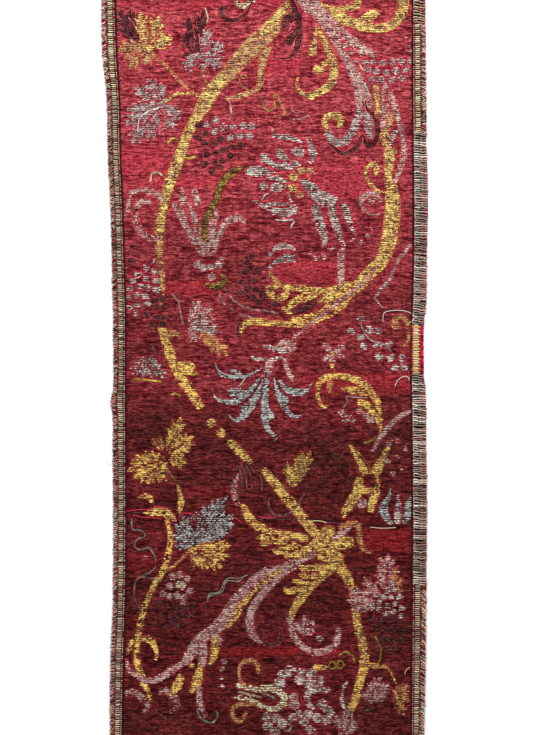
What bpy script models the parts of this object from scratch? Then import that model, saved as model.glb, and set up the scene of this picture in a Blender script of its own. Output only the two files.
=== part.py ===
"""Brocade panel: two lengths of silk and metal brocade seamed end to end and edged with galloon.

It lies face up on a surface. Metres, +Z up, +Y towards the panel's top, and the origin is on the
surface under the panel's middle. Tables are in millimetres.
"""

from collections import namedtuple
from math import ceil, cos, pi

import bmesh
import bpy

MM = 0.001

# Driving sizes
PANEL_LENGTH = 0.540
CLOTH_THICKNESS = 0.0014
HEM_DEPTH = 0.012
HEM_THICKNESS = 0.0023
GALLOON_THICKNESS = 0.0011
LOCK_PITCH = 0.0042

# Clearances between pieces that touch
LYING_GAP = 0.0003
SEAM_GAP = 0.0004

# How the galloon lies on the cloth's edge, measured outwards from that edge
OVERHANG = 0.0039
BEND_AT = 0.0004
FOOT_AT = 0.0017
BARE_OVERHANG = 0.0032

# How the cloth rises and falls
EDGE_FLAT = 0.0075
EDGE_FADE = 0.018
END_FADE = 0.014
HEM_RAMP = 0.0025
SEAM_RISE = 0.0006
SEAM_REACH = 0.006

# Sizes of the grids
MIDDLE_COLUMNS = 14
ROW_HEIGHT = 0.0105
LOCK_SHARE = 0.58
LOCK_TAPER = 0.72

# Where the right galloon is interrupted by the bare length
BARE_TOP = 0.0301
BARE_BOTTOM = -0.0043
JOIN_GAP = 0.0004

Station = namedtuple("Station", "y left_tip left_inner right_inner right_tip")
STATIONS = (
    Station(270.0, -115.1, -104.8, 103.7, 112.8),
    Station(204.8, -112.6, -103.4, 103.7, 112.6),
    Station(152.3, -110.5, -102.3, 103.5, 113.5),
    Station(117.3, -109.1, -101.4, 103.5, 114.2),
    Station(68.3, -107.7, -99.9, 103.3, 112.8),
    Station(29.8, -106.8, -98.8, 102.4, 111.7),
    Station(-1.8, -106.9, -97.9, 102.3, 110.7),
    Station(-26.3, -109.1, -97.4, 102.5, 112.3),
    Station(-47.3, -107.0, -97.3, 102.8, 112.8),
    Station(-75.3, -106.8, -97.2, 103.0, 113.5),
    Station(-134.8, -106.3, -97.0, 103.3, 113.1),
    Station(-176.8, -106.8, -97.9, 103.3, 112.2),
    Station(-232.8, -109.1, -99.1, 103.2, 112.0),
    Station(-270.0, -108.6, -100.2, 103.0, 111.2),
)

SeamPoint = namedtuple("SeamPoint", "x y")
SEAM = (
    SeamPoint(-97.2, -101.9),
    SeamPoint(-80.4, -101.2),
    SeamPoint(-62.9, -104.0),
    SeamPoint(-45.4, -103.3),
    SeamPoint(-20.9, -104.7),
    SeamPoint(24.6, -106.8),
    SeamPoint(70.1, -109.9),
    SeamPoint(101.6, -111.0),
)

Cockle = namedtuple("Cockle", "x y half_across half_along slope lift")
COCKLES = (
    Cockle(-58, 222, 42, 21, 0.10, 1.8),
    Cockle(45, 205, 50, 20, -0.15, 1.4),
    Cockle(-20, 168, 65, 23, 0.08, 2.0),
    Cockle(62, 128, 38, 25, 0.20, 1.6),
    Cockle(-50, 96, 45, 21, -0.12, 1.7),
    Cockle(30, 62, 60, 21, 0.10, 1.9),
    Cockle(-62, 30, 32, 24, 0.00, 1.4),
    Cockle(68, 2, 30, 26, 0.10, 1.5),
    Cockle(-25, -48, 62, 21, 0.12, 2.0),
    Cockle(50, -72, 42, 20, -0.10, 1.5),
    Cockle(-45, -138, 48, 20, 0.10, 1.7),
    Cockle(40, -152, 55, 22, -0.08, 2.0),
    Cockle(-30, -190, 62, 22, 0.06, 1.8),
    Cockle(52, -212, 42, 21, 0.12, 1.5),
    Cockle(-48, -232, 40, 18, -0.05, 1.3),
)

# Each lock of loops in turn, over and over: how far past the mean tip it reaches, and its lean
Lock = namedtuple("Lock", "reach lean")
LOCKS = (
    Lock(0.1, 0.3),
    Lock(-0.5, -0.2),
    Lock(0.4, 0.4),
    Lock(-0.2, 0.1),
    Lock(0.6, -0.4),
    Lock(-0.6, 0.0),
    Lock(0.2, -0.1),
    Lock(-0.1, 0.5),
    Lock(0.5, 0.2),
    Lock(-0.4, -0.3),
    Lock(0.0, 0.2),
)

Finish = namedtuple("Finish", "colour roughness metallic")
CRIMSON_SILK = Finish((0.36, 0.02, 0.045), 0.62, 0.0)
TARNISHED_SILVER = Finish((0.30, 0.26, 0.22), 0.45, 0.6)
YELLOW_LADDER = Finish((0.70, 0.45, 0.22), 0.60, 0.1)


def curve_through(knots, at):
    """The value at one place of a smooth curve through (place, value) knots, level past its ends."""
    knots = sorted(knots)
    if at <= knots[0][0]:
        return knots[0][1]
    if at >= knots[-1][0]:
        return knots[-1][1]
    last = len(knots) - 1
    i = max(k for k in range(last) if knots[k][0] <= at)

    def slope(k):
        before, after = knots[max(k - 1, 0)], knots[min(k + 1, last)]
        return (after[1] - before[1]) / (after[0] - before[0])

    span = knots[i + 1][0] - knots[i][0]
    t = (at - knots[i][0]) / span
    rise = knots[i + 1][1] - knots[i][1]
    eased = t * t * (3 - 2 * t)
    bow = t * (1 - t) * ((1 - t) * slope(i) - t * slope(i + 1)) * span
    return knots[i][1] + rise * eased + bow


def station_x(column, y):
    """The x of one of the outline's lines at y."""
    return MM * curve_through([(s.y, getattr(s, column)) for s in STATIONS], y / MM)


def tip_x(side, y):
    return station_x("left_tip" if side < 0 else "right_tip", y)


def inner_x(side, y):
    return station_x("left_inner" if side < 0 else "right_inner", y)


def cloth_edge_x(side, y):
    return tip_x(side, y) - side * OVERHANG


def seam_y(x):
    return MM * curve_through([(p.x, p.y) for p in SEAM], x / MM)


def faded(distance, reach):
    """0 at no distance, 1 at the reach and beyond, with a soft start and end."""
    t = min(max(distance / reach, 0.0), 1.0)
    return t * t * (3 - 2 * t)


def hump(t):
    """1 in the middle, 0 at -1 and 1 and beyond."""
    return cos(0.5 * pi * t) ** 2 if abs(t) < 1 else 0.0


def cloth_lift(x, y):
    """How high the cloth's underside stands above the surface."""
    to_side = min(x - cloth_edge_x(-1, y), cloth_edge_x(1, y) - x)
    to_end = 0.5 * PANEL_LENGTH - HEM_DEPTH - HEM_RAMP - abs(y)
    from_seam = abs(y - seam_y(x))
    flat_share = faded(to_side - EDGE_FLAT, EDGE_FADE) * faded(to_end, END_FADE)
    flat_share *= faded(from_seam - SEAM_REACH, END_FADE)
    total = 0.0
    for cockle in COCKLES:
        dx = x / MM - cockle.x
        dy = y / MM - cockle.y - cockle.slope * dx
        total += MM * cockle.lift * hump(dx / cockle.half_across) * hump(dy / cockle.half_along)
    return total * flat_share + SEAM_RISE * hump(from_seam / SEAM_REACH)


def cloth_thickness(y):
    """Two layers in the turned hems at both ends, and one between them."""
    into_hem = abs(y) - (0.5 * PANEL_LENGTH - HEM_DEPTH - HEM_RAMP)
    share = min(max(into_hem / HEM_RAMP, 0.0), 1.0)
    return CLOTH_THICKNESS + (HEM_THICKNESS - CLOTH_THICKNESS) * share


def galloon_seat(x, y):
    """The height at which the galloon lies on the cloth, over whatever is near."""
    near = (y - HEM_RAMP, y - 0.5 * HEM_RAMP, y, y + 0.5 * HEM_RAMP, y + HEM_RAMP)
    return max(cloth_lift(x, place) + cloth_thickness(place) for place in near) + LYING_GAP


def even_steps(start, end, step):
    """Places from start to end, both included, about a step apart."""
    count = max(1, ceil(abs(end - start) / step))
    return [start + (end - start) * k / count for k in range(count + 1)]


def grid(columns, rows, place):
    """A flat grid of faces whose points are then put where place(column, row) says."""
    sheet = bmesh.new()
    bmesh.ops.create_grid(sheet, x_segments=columns, y_segments=rows, size=0.5)
    spots = {}
    for vert in sheet.verts:
        spots[vert] = (round((vert.co.x + 0.5) * columns), round((vert.co.y + 0.5) * rows))
    for vert, (column, row) in spots.items():
        vert.co = place(column, row)
    return sheet, spots


def material(name, finish):
    made = bpy.data.materials.new(name)
    made.use_nodes = True
    shader = made.node_tree.nodes["Principled BSDF"]
    shader.inputs["Base Color"].default_value = (*finish.colour, 1.0)
    shader.inputs["Roughness"].default_value = finish.roughness
    shader.inputs["Metallic"].default_value = finish.metallic
    return made


def add_object(collection, name, sheet, finish, thickness):
    """The sheet, facing up, as an object whose thickness is added above it."""
    bmesh.ops.recalc_face_normals(sheet, faces=sheet.faces)
    if sum(face.normal.z for face in sheet.faces) < 0:
        bmesh.ops.reverse_faces(sheet, faces=sheet.faces)
    mesh = bpy.data.meshes.new(name)
    sheet.to_mesh(mesh)
    sheet.free()
    mesh.shade_smooth()
    mesh.materials.append(material(name, finish))
    made = bpy.data.objects.new(name, mesh)
    collection.objects.link(made)
    solidify = made.modifiers.new("thickness", "SOLIDIFY")
    solidify.thickness = thickness
    solidify.offset = 1.0
    solidify.use_even_offset = True
    return made


def cloth_columns(y):
    """The x of each column of the cloth's grid at y: a flat band at each edge, even between."""
    left, right = cloth_edge_x(-1, y), cloth_edge_x(1, y)
    start, width = left + EDGE_FLAT, right - left - 2 * EDGE_FLAT
    middle = [start + width * k / MIDDLE_COLUMNS for k in range(MIDDLE_COLUMNS + 1)]
    return [left, *middle, right]


def cloth_rows(sign):
    """Depths of the grid's rows from a length's hemmed end to its seam, at the panel's middle."""
    hem_end = HEM_DEPTH + HEM_RAMP
    to_seam = 0.5 * PANEL_LENGTH - sign * seam_y(0.0)
    return [0.0, HEM_DEPTH, *even_steps(hem_end, to_seam - SEAM_REACH, ROW_HEIGHT), to_seam]


def add_cloth(collection, name, sign):
    """One length of brocade, from its hemmed end (+1 top, -1 bottom) to the seam."""
    rows = cloth_rows(sign)
    end_y = sign * 0.5 * PANEL_LENGTH
    hem_end = HEM_DEPTH + HEM_RAMP

    def place(column, row):
        depth = rows[row]
        x = cloth_columns(end_y - sign * depth)[column]
        to_seam = abs(end_y - seam_y(x)) - 0.5 * SEAM_GAP
        stretch = (to_seam - hem_end) / (rows[-1] - hem_end)
        if depth > hem_end:
            depth = hem_end + (depth - hem_end) * stretch
        y = end_y - sign * depth
        x = cloth_columns(y)[column]
        return x, y, cloth_lift(x, y)

    sheet, spots = grid(MIDDLE_COLUMNS + 2, len(rows) - 1, place)
    in_hem = [rows[spots[vert][1]] <= HEM_DEPTH for vert in sheet.verts]
    made = add_object(collection, name, sheet, CRIMSON_SILK, HEM_THICKNESS)
    hem = made.vertex_groups.new(name="hem")
    for index, doubled in enumerate(in_hem):
        hem.add([index], float(doubled), "REPLACE")
    solidify = made.modifiers["thickness"]
    solidify.vertex_group = hem.name
    solidify.thickness_vertex_group = CLOTH_THICKNESS / HEM_THICKNESS
    return made


def strip(side, ys, outer_offset):
    """A galloon's grid: flat on the cloth, bent over its edge and down to the surface."""

    def place(column, row):
        y = ys[row]
        edge = cloth_edge_x(side, y)
        if column == 0:
            x = inner_x(side, y)
            return x, y, galloon_seat(x, y)
        if column == 1:
            return edge + side * BEND_AT, y, galloon_seat(edge, y)
        return edge + side * (FOOT_AT if column == 2 else outer_offset), y, 0.0

    return grid(3 if outer_offset else 2, len(ys) - 1, place)


def add_galloon(collection, name, side, top, bottom):
    """A length of galloon, with a lock of loops drawn out of every second cell of its outer edge."""
    count = round((top - bottom) / LOCK_PITCH)
    pitch = (top - bottom) / count
    starts = [top - pitch * (k + 0.5 * (1 - LOCK_SHARE)) for k in range(count)]
    ends = [start - pitch * LOCK_SHARE for start in starts]
    ys = [top, *sorted(starts + ends, reverse=True), bottom]
    sheet, spots = strip(side, ys, None)
    outer = [edge for edge in sheet.edges if all(spots[v][0] == 2 for v in edge.verts)]
    outer.sort(key=lambda edge: min(spots[vert][1] for vert in edge.verts))
    for number, edge in enumerate(outer[1::2]):
        lock = LOCKS[number % len(LOCKS)]
        middle = 0.5 * (edge.verts[0].co + edge.verts[1].co)
        drawn = bmesh.ops.extrude_edge_only(sheet, edges=[edge])["geom"]
        for vert in [part for part in drawn if isinstance(part, bmesh.types.BMVert)]:
            vert.co.y = middle.y + LOCK_TAPER * (vert.co.y - middle.y) + lock.lean * MM
            vert.co.x = tip_x(side, middle.y) + side * lock.reach * MM
    return add_object(collection, name, sheet, TARNISHED_SILVER, GALLOON_THICKNESS)


def add_bare_length(collection, name, side, top, bottom):
    """The length of the edging whose loops are gone, so that its yellow ladder weave shows."""
    sheet, _ = strip(side, even_steps(top, bottom, LOCK_PITCH), BARE_OVERHANG)
    return add_object(collection, name, sheet, YELLOW_LADDER, GALLOON_THICKNESS)


def clear_scene():
    for old in list(bpy.data.objects):
        bpy.data.objects.remove(old, do_unlink=True)


def main():
    clear_scene()
    collection = bpy.data.collections.new("brocade_panel")
    bpy.context.scene.collection.children.link(collection)
    end = 0.5 * PANEL_LENGTH
    add_cloth(collection, "cloth_upper", 1)
    add_cloth(collection, "cloth_lower", -1)
    add_galloon(collection, "galloon_left", -1, end, -end)
    add_galloon(collection, "galloon_right_upper", 1, end, BARE_TOP + JOIN_GAP)
    add_bare_length(collection, "galloon_right_bare", 1, BARE_TOP, BARE_BOTTOM)
    add_galloon(collection, "galloon_right_lower", 1, BARE_BOTTOM - JOIN_GAP, -end)


main()
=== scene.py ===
"""Brocade panel, the looks: crinkled silk ground, metal-thread pattern, seam and looped galloon.

Places in the pattern are given in pixels of a frame 533 wide and 735 high, x to the right and
y down, and PIXEL turns them into metres on the cloth. The scale is read from the frame. The
outline, the seam and the cockles repeat the solids' own values, in millimetres.
"""

from collections import namedtuple

import bmesh
import bpy
import numpy as np
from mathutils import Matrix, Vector


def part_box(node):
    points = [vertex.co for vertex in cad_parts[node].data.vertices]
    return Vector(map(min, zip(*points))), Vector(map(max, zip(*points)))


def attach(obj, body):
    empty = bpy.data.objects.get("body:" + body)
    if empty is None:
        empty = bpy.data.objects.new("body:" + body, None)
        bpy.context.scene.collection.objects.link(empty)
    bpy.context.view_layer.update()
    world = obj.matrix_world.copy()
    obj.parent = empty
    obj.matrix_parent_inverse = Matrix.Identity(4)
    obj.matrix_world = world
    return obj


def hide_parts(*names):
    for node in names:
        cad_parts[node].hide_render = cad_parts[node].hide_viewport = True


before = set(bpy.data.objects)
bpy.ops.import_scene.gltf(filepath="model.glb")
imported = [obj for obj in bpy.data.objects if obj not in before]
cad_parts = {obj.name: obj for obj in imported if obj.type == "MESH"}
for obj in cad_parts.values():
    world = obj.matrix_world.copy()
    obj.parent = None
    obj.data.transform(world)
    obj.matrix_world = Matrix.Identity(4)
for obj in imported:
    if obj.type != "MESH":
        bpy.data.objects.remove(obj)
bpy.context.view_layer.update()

IMAGE_WIDTH, IMAGE_HEIGHT = 533, 735
LENGTH_IN_PIXELS = 771.4
MIDDLE_X, MIDDLE_Y = 264.9, 367.5
LEFT_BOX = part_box("galloon_left")
PIXEL = (LEFT_BOX[1][1] - LEFT_BOX[0][1]) / LENGTH_IN_PIXELS
HALF_LENGTH = 0.5 * LENGTH_IN_PIXELS
MM = 0.001

# The solids' own sizes, which the looks keep to
CLOTH_TOP = 0.0014
HEM_TOP = 0.0023
HEM_DEPTH = 0.012
HEM_RAMP = 0.0025
EDGE_FLAT = 0.0075
EDGE_FADE = 0.018
END_FADE = 0.014
SEAM_RISE = 0.0006
SEAM_REACH = 0.006
SEAM_GAP = 0.0004
OVERHANG = 0.0039
LYING_GAP = 0.0003
BARE_TOP_PX = 324.6
BARE_BOTTOM_PX = 373.6

# The silk and the threads on it: pitches, widths and steps in pixels, the rest in metres
CRINKLE_DEPTH = 0.00034
WEFT_PITCH = 1.9
WEFT_WIDTH = 1.5
WEFT_STEP = 1.9
WEFT_RISE = 0.00016
WEFT_THICKNESS = 0.00026
FLECK_STEP = 1.5
FLECK_RISE = 0.00015
FLECK_THICKNESS = 0.00018
OUTLINE_WIDTH = 0.95
OUTLINE_STEP = 2.8
LINE_STEP = 2.2
LINE_RISE = 0.00024
LINE_THICKNESS = 0.00022
HAIR_WIDTH = 0.5
HAIR_THICKNESS = 0.00012
EDGE_TUCK = 0.0006
END_TUCK = 0.0004
OVER_GALLOON = 0.0032

TOP_PX = MIDDLE_Y - HALF_LENGTH
BOTTOM_PX = MIDDLE_Y + HALF_LENGTH
ROWS = int(LENGTH_IN_PIXELS / WEFT_PITCH)
CELLS_PER_PIXEL = 4
HAIR_COUNT = 900

Station = namedtuple("Station", "y left_tip left_inner right_inner right_tip")
STATIONS = (
    Station(270.0, -115.1, -104.8, 103.7, 112.8),
    Station(204.8, -112.6, -103.4, 103.7, 112.6),
    Station(152.3, -110.5, -102.3, 103.5, 113.5),
    Station(117.3, -109.1, -101.4, 103.5, 114.2),
    Station(68.3, -107.7, -99.9, 103.3, 112.8),
    Station(29.8, -106.8, -98.8, 102.4, 111.7),
    Station(-1.8, -106.9, -97.9, 102.3, 110.7),
    Station(-26.3, -109.1, -97.4, 102.5, 112.3),
    Station(-47.3, -107.0, -97.3, 102.8, 112.8),
    Station(-75.3, -106.8, -97.2, 103.0, 113.5),
    Station(-134.8, -106.3, -97.0, 103.3, 113.1),
    Station(-176.8, -106.8, -97.9, 103.3, 112.2),
    Station(-232.8, -109.1, -99.1, 103.2, 112.0),
    Station(-270.0, -108.6, -100.2, 103.0, 111.2),
)

SeamPoint = namedtuple("SeamPoint", "x y")
SEAM = (
    SeamPoint(-97.2, -101.9),
    SeamPoint(-80.4, -101.2),
    SeamPoint(-62.9, -104.0),
    SeamPoint(-45.4, -103.3),
    SeamPoint(-20.9, -104.7),
    SeamPoint(24.6, -106.8),
    SeamPoint(70.1, -109.9),
    SeamPoint(101.6, -111.0),
)

Cockle = namedtuple("Cockle", "x y half_across half_along slope lift")
COCKLES = (
    Cockle(-58, 222, 42, 21, 0.10, 1.8),
    Cockle(45, 205, 50, 20, -0.15, 1.4),
    Cockle(-20, 168, 65, 23, 0.08, 2.0),
    Cockle(62, 128, 38, 25, 0.20, 1.6),
    Cockle(-50, 96, 45, 21, -0.12, 1.7),
    Cockle(30, 62, 60, 21, 0.10, 1.9),
    Cockle(-62, 30, 32, 24, 0.00, 1.4),
    Cockle(68, 2, 30, 26, 0.10, 1.5),
    Cockle(-25, -48, 62, 21, 0.12, 2.0),
    Cockle(50, -72, 42, 20, -0.10, 1.5),
    Cockle(-45, -138, 48, 20, 0.10, 1.7),
    Cockle(40, -152, 55, 22, -0.08, 2.0),
    Cockle(-30, -190, 62, 22, 0.06, 1.8),
    Cockle(52, -212, 42, 21, 0.12, 1.5),
    Cockle(-48, -232, 40, 18, -0.05, 1.3),
)

# Stretches of silk that lie smooth and bright between the crinkled ones, in pixels
Patch = namedtuple("Patch", "left top right bottom share")
SMOOTH_PATCHES = (
    Patch(112, -20, 290, 6, 0.9),
    Patch(112, 14, 135, 40, 0.3),
    Patch(150, 0, 225, 10, 0.8),
    Patch(262, 58, 304, 76, 0.9),
    Patch(112, 146, 172, 176, 0.95),
    Patch(172, 174, 236, 188, 1.0),
    Patch(112, 176, 172, 190, 0.6),
    Patch(310, 160, 370, 200, 0.7),
    Patch(272, 260, 338, 284, 0.8),
    Patch(160, 280, 216, 296, 0.9),
    Patch(120, 328, 150, 342, 0.4),
    Patch(300, 372, 414, 394, 0.8),
    Patch(120, 366, 150, 380, 0.4),
    Patch(218, 646, 304, 656, 1.0),
    Patch(304, 648, 345, 656, 0.7),
    Patch(362, 528, 412, 552, 0.8),
    Patch(122, 552, 170, 572, 0.4),
    Patch(185, 486, 230, 496, 0.6),
    Patch(330, 270, 414, 290, 0.3),
)

# Brown stains, in pixels, with how strongly each darkens the silk
Stain = namedtuple("Stain", "x y half_across half_along share")
STAINS = (
    Stain(150, 428, 40, 30, 0.75),
    Stain(322, 468, 52, 44, 0.80),
    Stain(190, 470, 50, 40, 0.45),
    Stain(215, 440, 40, 30, 0.40),
    Stain(392, 455, 34, 50, 0.70),
    Stain(240, 480, 50, 30, 0.45),
    Stain(165, 605, 46, 34, 0.65),
    Stain(390, 635, 34, 40, 0.70),
    Stain(300, 600, 60, 44, 0.45),
    Stain(235, 560, 50, 26, 0.30),
    Stain(375, 715, 50, 30, 0.65),
    Stain(150, 715, 60, 34, 0.60),
    Stain(230, 640, 60, 40, 0.35),
    Stain(150, 330, 36, 50, 0.25),
    Stain(385, 310, 40, 34, 0.25),
    Stain(250, 280, 40, 34, 0.30),
    Stain(180, 250, 50, 40, 0.25),
    Stain(250, 720, 60, 30, 0.40),
    Stain(320, 560, 60, 40, 0.30),
)

# How bright the silk is down its length, from 1 fresh at the top to 0 at its darkest
Fade = namedtuple("Fade", "y brightness")
FADES = (
    Fade(-20, 1.00),
    Fade(60, 0.98),
    Fade(180, 0.92),
    Fade(230, 0.78),
    Fade(300, 0.62),
    Fade(380, 0.56),
    Fade(420, 0.36),
    Fade(480, 0.22),
    Fade(560, 0.20),
    Fade(640, 0.20),
    Fade(760, 0.14),
)

# How each kind of weft looks: bright to dull colours, the silk below it, and its share of
# bits painted with a highlight and bits painted with shade
Thread = namedtuple("Thread", "bank colours under wear width jumble glints pits")
THREADS = {
    "gold": Thread("gold_wefts", ((238, 214, 122), (180, 134, 78), (128, 76, 54)),
                   (116, 52, 40), 0.12, 1.10, 1.0, 0.44, 0.15),
    "ochre": Thread("gold_wefts", ((204, 166, 106), (172, 122, 84), (140, 82, 66)),
                    (136, 62, 54), 0.16, 1.12, 1.0, 0.34, 0.18),
    "silver": Thread("silver_wefts", ((216, 206, 194), (160, 142, 132), (118, 86, 84)),
                     (132, 36, 48), 0.10, 0.84, 0.3, 0.24, 0.12),
    "grey": Thread("silver_wefts", ((196, 182, 174), (146, 122, 118), (116, 72, 76)),
                   (134, 46, 56), 0.16, 0.96, 0.9, 0.36, 0.17),
    "rose": Thread("silver_wefts", ((212, 178, 166), (170, 124, 116), (140, 78, 80)),
                   (150, 52, 60), 0.16, 1.02, 1.0, 0.40, 0.16),
    "steel": Thread("silver_wefts", ((186, 188, 182), (146, 146, 140), (104, 88, 86)),
                    (78, 32, 40), 0.10, 0.96, 0.5, 0.34, 0.13),
    "cream": Thread("silver_wefts", ((232, 220, 184), (194, 170, 130), (160, 122, 96)),
                    (134, 64, 54), 0.12, 1.04, 0.8, 0.40, 0.24),
    "olive": Thread("silk_wefts", ((166, 138, 66), (108, 82, 36), (78, 54, 28)),
                    (76, 36, 24), 0.12, 1.08, 1.0, 0.36, 0.26),
    "dark": Thread("silk_wefts", ((120, 62, 62), (84, 38, 40), (60, 24, 30)),
                   (66, 20, 28), 0.06, 1.10, 0.9, 0.22, 0.22),
}

# A thread along a path: round the numbered shape, or on its own where that is None
Line = namedtuple("Line", "path width colour wear shape")

EDGE_COLOURS = {
    "gold": (206, 92, 72),
    "ochre": (206, 88, 78),
    "silver": (204, 44, 68),
    "grey": (204, 54, 74),
    "rose": (204, 84, 88),
    "steel": (150, 40, 52),
    "cream": (168, 92, 70),
    "olive": (150, 54, 52),
    "dark": (208, 86, 86),
}


def linear(colour):
    """A colour of 0 to 255 steps as the linear values that shaders take."""
    steps = np.asarray(colour, float) / 255
    return np.where(steps <= 0.04045, steps / 12.92, ((steps + 0.055) / 1.055) ** 2.4)


def hashed(ix, iy, seed):
    """A number from -1 to 1 for each whole-numbered place, the same on every run."""
    mixed = (ix.astype(np.int64) * 374761393 + iy.astype(np.int64) * 668265263 + seed * 974634777)
    mixed &= 0xFFFFFFFF
    mixed = ((mixed ^ (mixed >> 13)) * 1274126177) & 0xFFFFFFFF
    mixed ^= mixed >> 16
    return (mixed & 0xFFFF) / 32767.5 - 1


def noise(x, y, seed):
    """Smooth noise from -1 to 1, about one rise and fall a unit."""
    x, y = np.broadcast_arrays(np.asarray(x, float), np.asarray(y, float))
    ix, iy = np.floor(x), np.floor(y)
    fx, fy = x - ix, y - iy
    sx, sy = fx * fx * (3 - 2 * fx), fy * fy * (3 - 2 * fy)
    low = hashed(ix, iy, seed) * (1 - sx) + hashed(ix + 1, iy, seed) * sx
    high = hashed(ix, iy + 1, seed) * (1 - sx) + hashed(ix + 1, iy + 1, seed) * sx
    return low * (1 - sy) + high * sy


def to_x(px):
    return (np.asarray(px, float) - MIDDLE_X) * PIXEL


def to_y(py):
    return (MIDDLE_Y - np.asarray(py, float)) * PIXEL


def curve_through(places, values, at):
    """A smooth curve through knots, read at an array of places, level past its ends."""
    order = np.argsort(places)
    places, values = np.asarray(places, float)[order], np.asarray(values, float)[order]
    at = np.clip(np.asarray(at, float), places[0], places[-1])
    last = len(places) - 1
    i = np.clip(np.searchsorted(places, at, side="right") - 1, 0, last - 1)
    before = np.maximum(np.arange(last + 1) - 1, 0)
    after = np.minimum(np.arange(last + 1) + 1, last)
    slopes = (values[after] - values[before]) / (places[after] - places[before])
    span = places[i + 1] - places[i]
    t = (at - places[i]) / span
    rise = values[i + 1] - values[i]
    bow = t * (1 - t) * ((1 - t) * slopes[i] - t * slopes[i + 1]) * span
    return values[i] + rise * t * t * (3 - 2 * t) + bow


def station_x(column, y):
    places = [station.y for station in STATIONS]
    values = [getattr(station, column) for station in STATIONS]
    return MM * curve_through(places, values, np.asarray(y) / MM)


def tip_x(side, y):
    return station_x("left_tip" if side < 0 else "right_tip", y)


def inner_x(side, y):
    return station_x("left_inner" if side < 0 else "right_inner", y)


def cloth_edge_x(side, y):
    return tip_x(side, y) - side * OVERHANG


def seam_y(x):
    return MM * curve_through([p.x for p in SEAM], [p.y for p in SEAM], np.asarray(x) / MM)


def faded(distance, reach):
    t = np.clip(distance / reach, 0, 1)
    return t * t * (3 - 2 * t)


def hump(t):
    return np.where(np.abs(t) < 1, np.cos(0.5 * np.pi * np.clip(t, -1, 1)) ** 2, 0.0)


def cloth_lift(x, y):
    """How high the cloth's underside stands above the surface, as in the solids."""
    x, y = np.asarray(x, float), np.asarray(y, float)
    to_side = np.minimum(x - cloth_edge_x(-1, y), cloth_edge_x(1, y) - x)
    half = HALF_LENGTH * PIXEL
    to_end = half - HEM_DEPTH - HEM_RAMP - np.abs(y)
    from_seam = np.abs(y - seam_y(x))
    share = faded(to_side - EDGE_FLAT, EDGE_FADE) * faded(to_end, END_FADE)
    share = share * faded(from_seam - SEAM_REACH, END_FADE)
    total = np.zeros_like(x + y)
    for cockle in COCKLES:
        dx = x / MM - cockle.x
        dy = y / MM - cockle.y - cockle.slope * dx
        total += MM * cockle.lift * hump(dx / cockle.half_across) * hump(dy / cockle.half_along)
    return total * share + SEAM_RISE * hump(from_seam / SEAM_REACH)


def cloth_thickness(y):
    into_hem = np.abs(y) - (HALF_LENGTH * PIXEL - HEM_DEPTH - HEM_RAMP)
    return CLOTH_TOP + (HEM_TOP - CLOTH_TOP) * np.clip(into_hem / HEM_RAMP, 0, 1)


def smoothness(px, py):
    """1 where the silk lies smooth, 0 where it's crinkled, with ragged edges between."""
    wander_x = px + 5 * noise(px / 9, py / 2.2, 31)
    wander_y = py + 1.6 * noise(px / 12, py / 5, 32)
    total = np.zeros_like(px + py)
    for patch in SMOOTH_PATCHES:
        inside = np.minimum(wander_x - patch.left, patch.right - wander_x) / 5
        inside = np.minimum(inside, np.minimum(wander_y - patch.top, patch.bottom - wander_y) / 2)
        total = np.maximum(total, patch.share * np.clip(inside, 0, 1))
    return total


def fading(py):
    """How bright the silk is at each place down its length."""
    return np.interp(py, [fade.y for fade in FADES], [fade.brightness for fade in FADES])


def staining(px, py):
    total = np.zeros_like(px + py)
    for stain in STAINS:
        apart = np.hypot((px - stain.x) / stain.half_across, (py - stain.y) / stain.half_along)
        total = np.maximum(total, stain.share * np.clip(1.35 - apart, 0, 1))
    return total


def weft_wander(px, py):
    """How far the wefts run up or down from their own row, in pixels."""
    return 0.75 * noise(px / 19, py / 6, 11) + 0.35 * noise(px / 8, py / 4, 12)


def crinkle(px, py):
    """The silk's crinkles from 0 in a valley to 1 on a ridge."""
    rows = py - weft_wander(px, py)
    coarse = np.clip(4.6 * np.abs(noise(px / 17, rows / 2.8, 1)), 0, 1)
    fine = np.clip(3.6 * np.abs(noise(px / 9, rows / 1.7, 2)), 0, 1)
    return 0.50 * np.minimum(coarse, fine) + 0.30 * coarse + 0.20 * fine


def crinkle_height(px, py):
    depth = 1 - 0.85 * smoothness(px, py)
    return CRINKLE_DEPTH * depth * (crinkle(px, py) - 1)


def surface(px, py):
    """The top of the crinkled cloth, in metres."""
    x, y = to_x(px), to_y(py)
    return cloth_lift(x, y) + cloth_thickness(y) + crinkle_height(px, py)


def smooth_path(points, step=1.5, closed=False):
    """Points a step apart on a smooth curve through rows of x, y and anything more."""
    knots = np.asarray(points, float)
    count = len(knots)
    if count == 2 and not closed:
        far = np.hypot(*(knots[1, :2] - knots[0, :2]))
        t = np.linspace(0, 1, max(2, int(far / step) + 1))[:, None]
        return knots[0] + (knots[1] - knots[0]) * t
    spans = count if closed else count - 1
    found = []
    for i in range(spans):
        if closed:
            a, b, c, d = (knots[(i + k) % count] for k in (-1, 0, 1, 2))
        else:
            a, b = knots[max(i - 1, 0)], knots[i]
            c, d = knots[i + 1], knots[min(i + 2, count - 1)]
        steps = max(2, int(np.hypot(*(c[:2] - b[:2])) / step))
        t = (np.arange(steps) / steps)[:, None]
        curve = b + 0.5 * t * (c - a + t * (2 * a - 5 * b + 4 * c - d + t * (3 * (b - c) + d - a)))
        found.append(curve)
    if not closed:
        found.append(knots[-1:])
    return np.concatenate(found)


def normals_of(path):
    """Unit vectors across a path, on its left as it goes."""
    along = np.gradient(path, axis=0)
    along /= np.maximum(np.hypot(along[:, 0], along[:, 1]), 1e-9)[:, None]
    return np.stack([-along[:, 1], along[:, 0]], axis=1)


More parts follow.
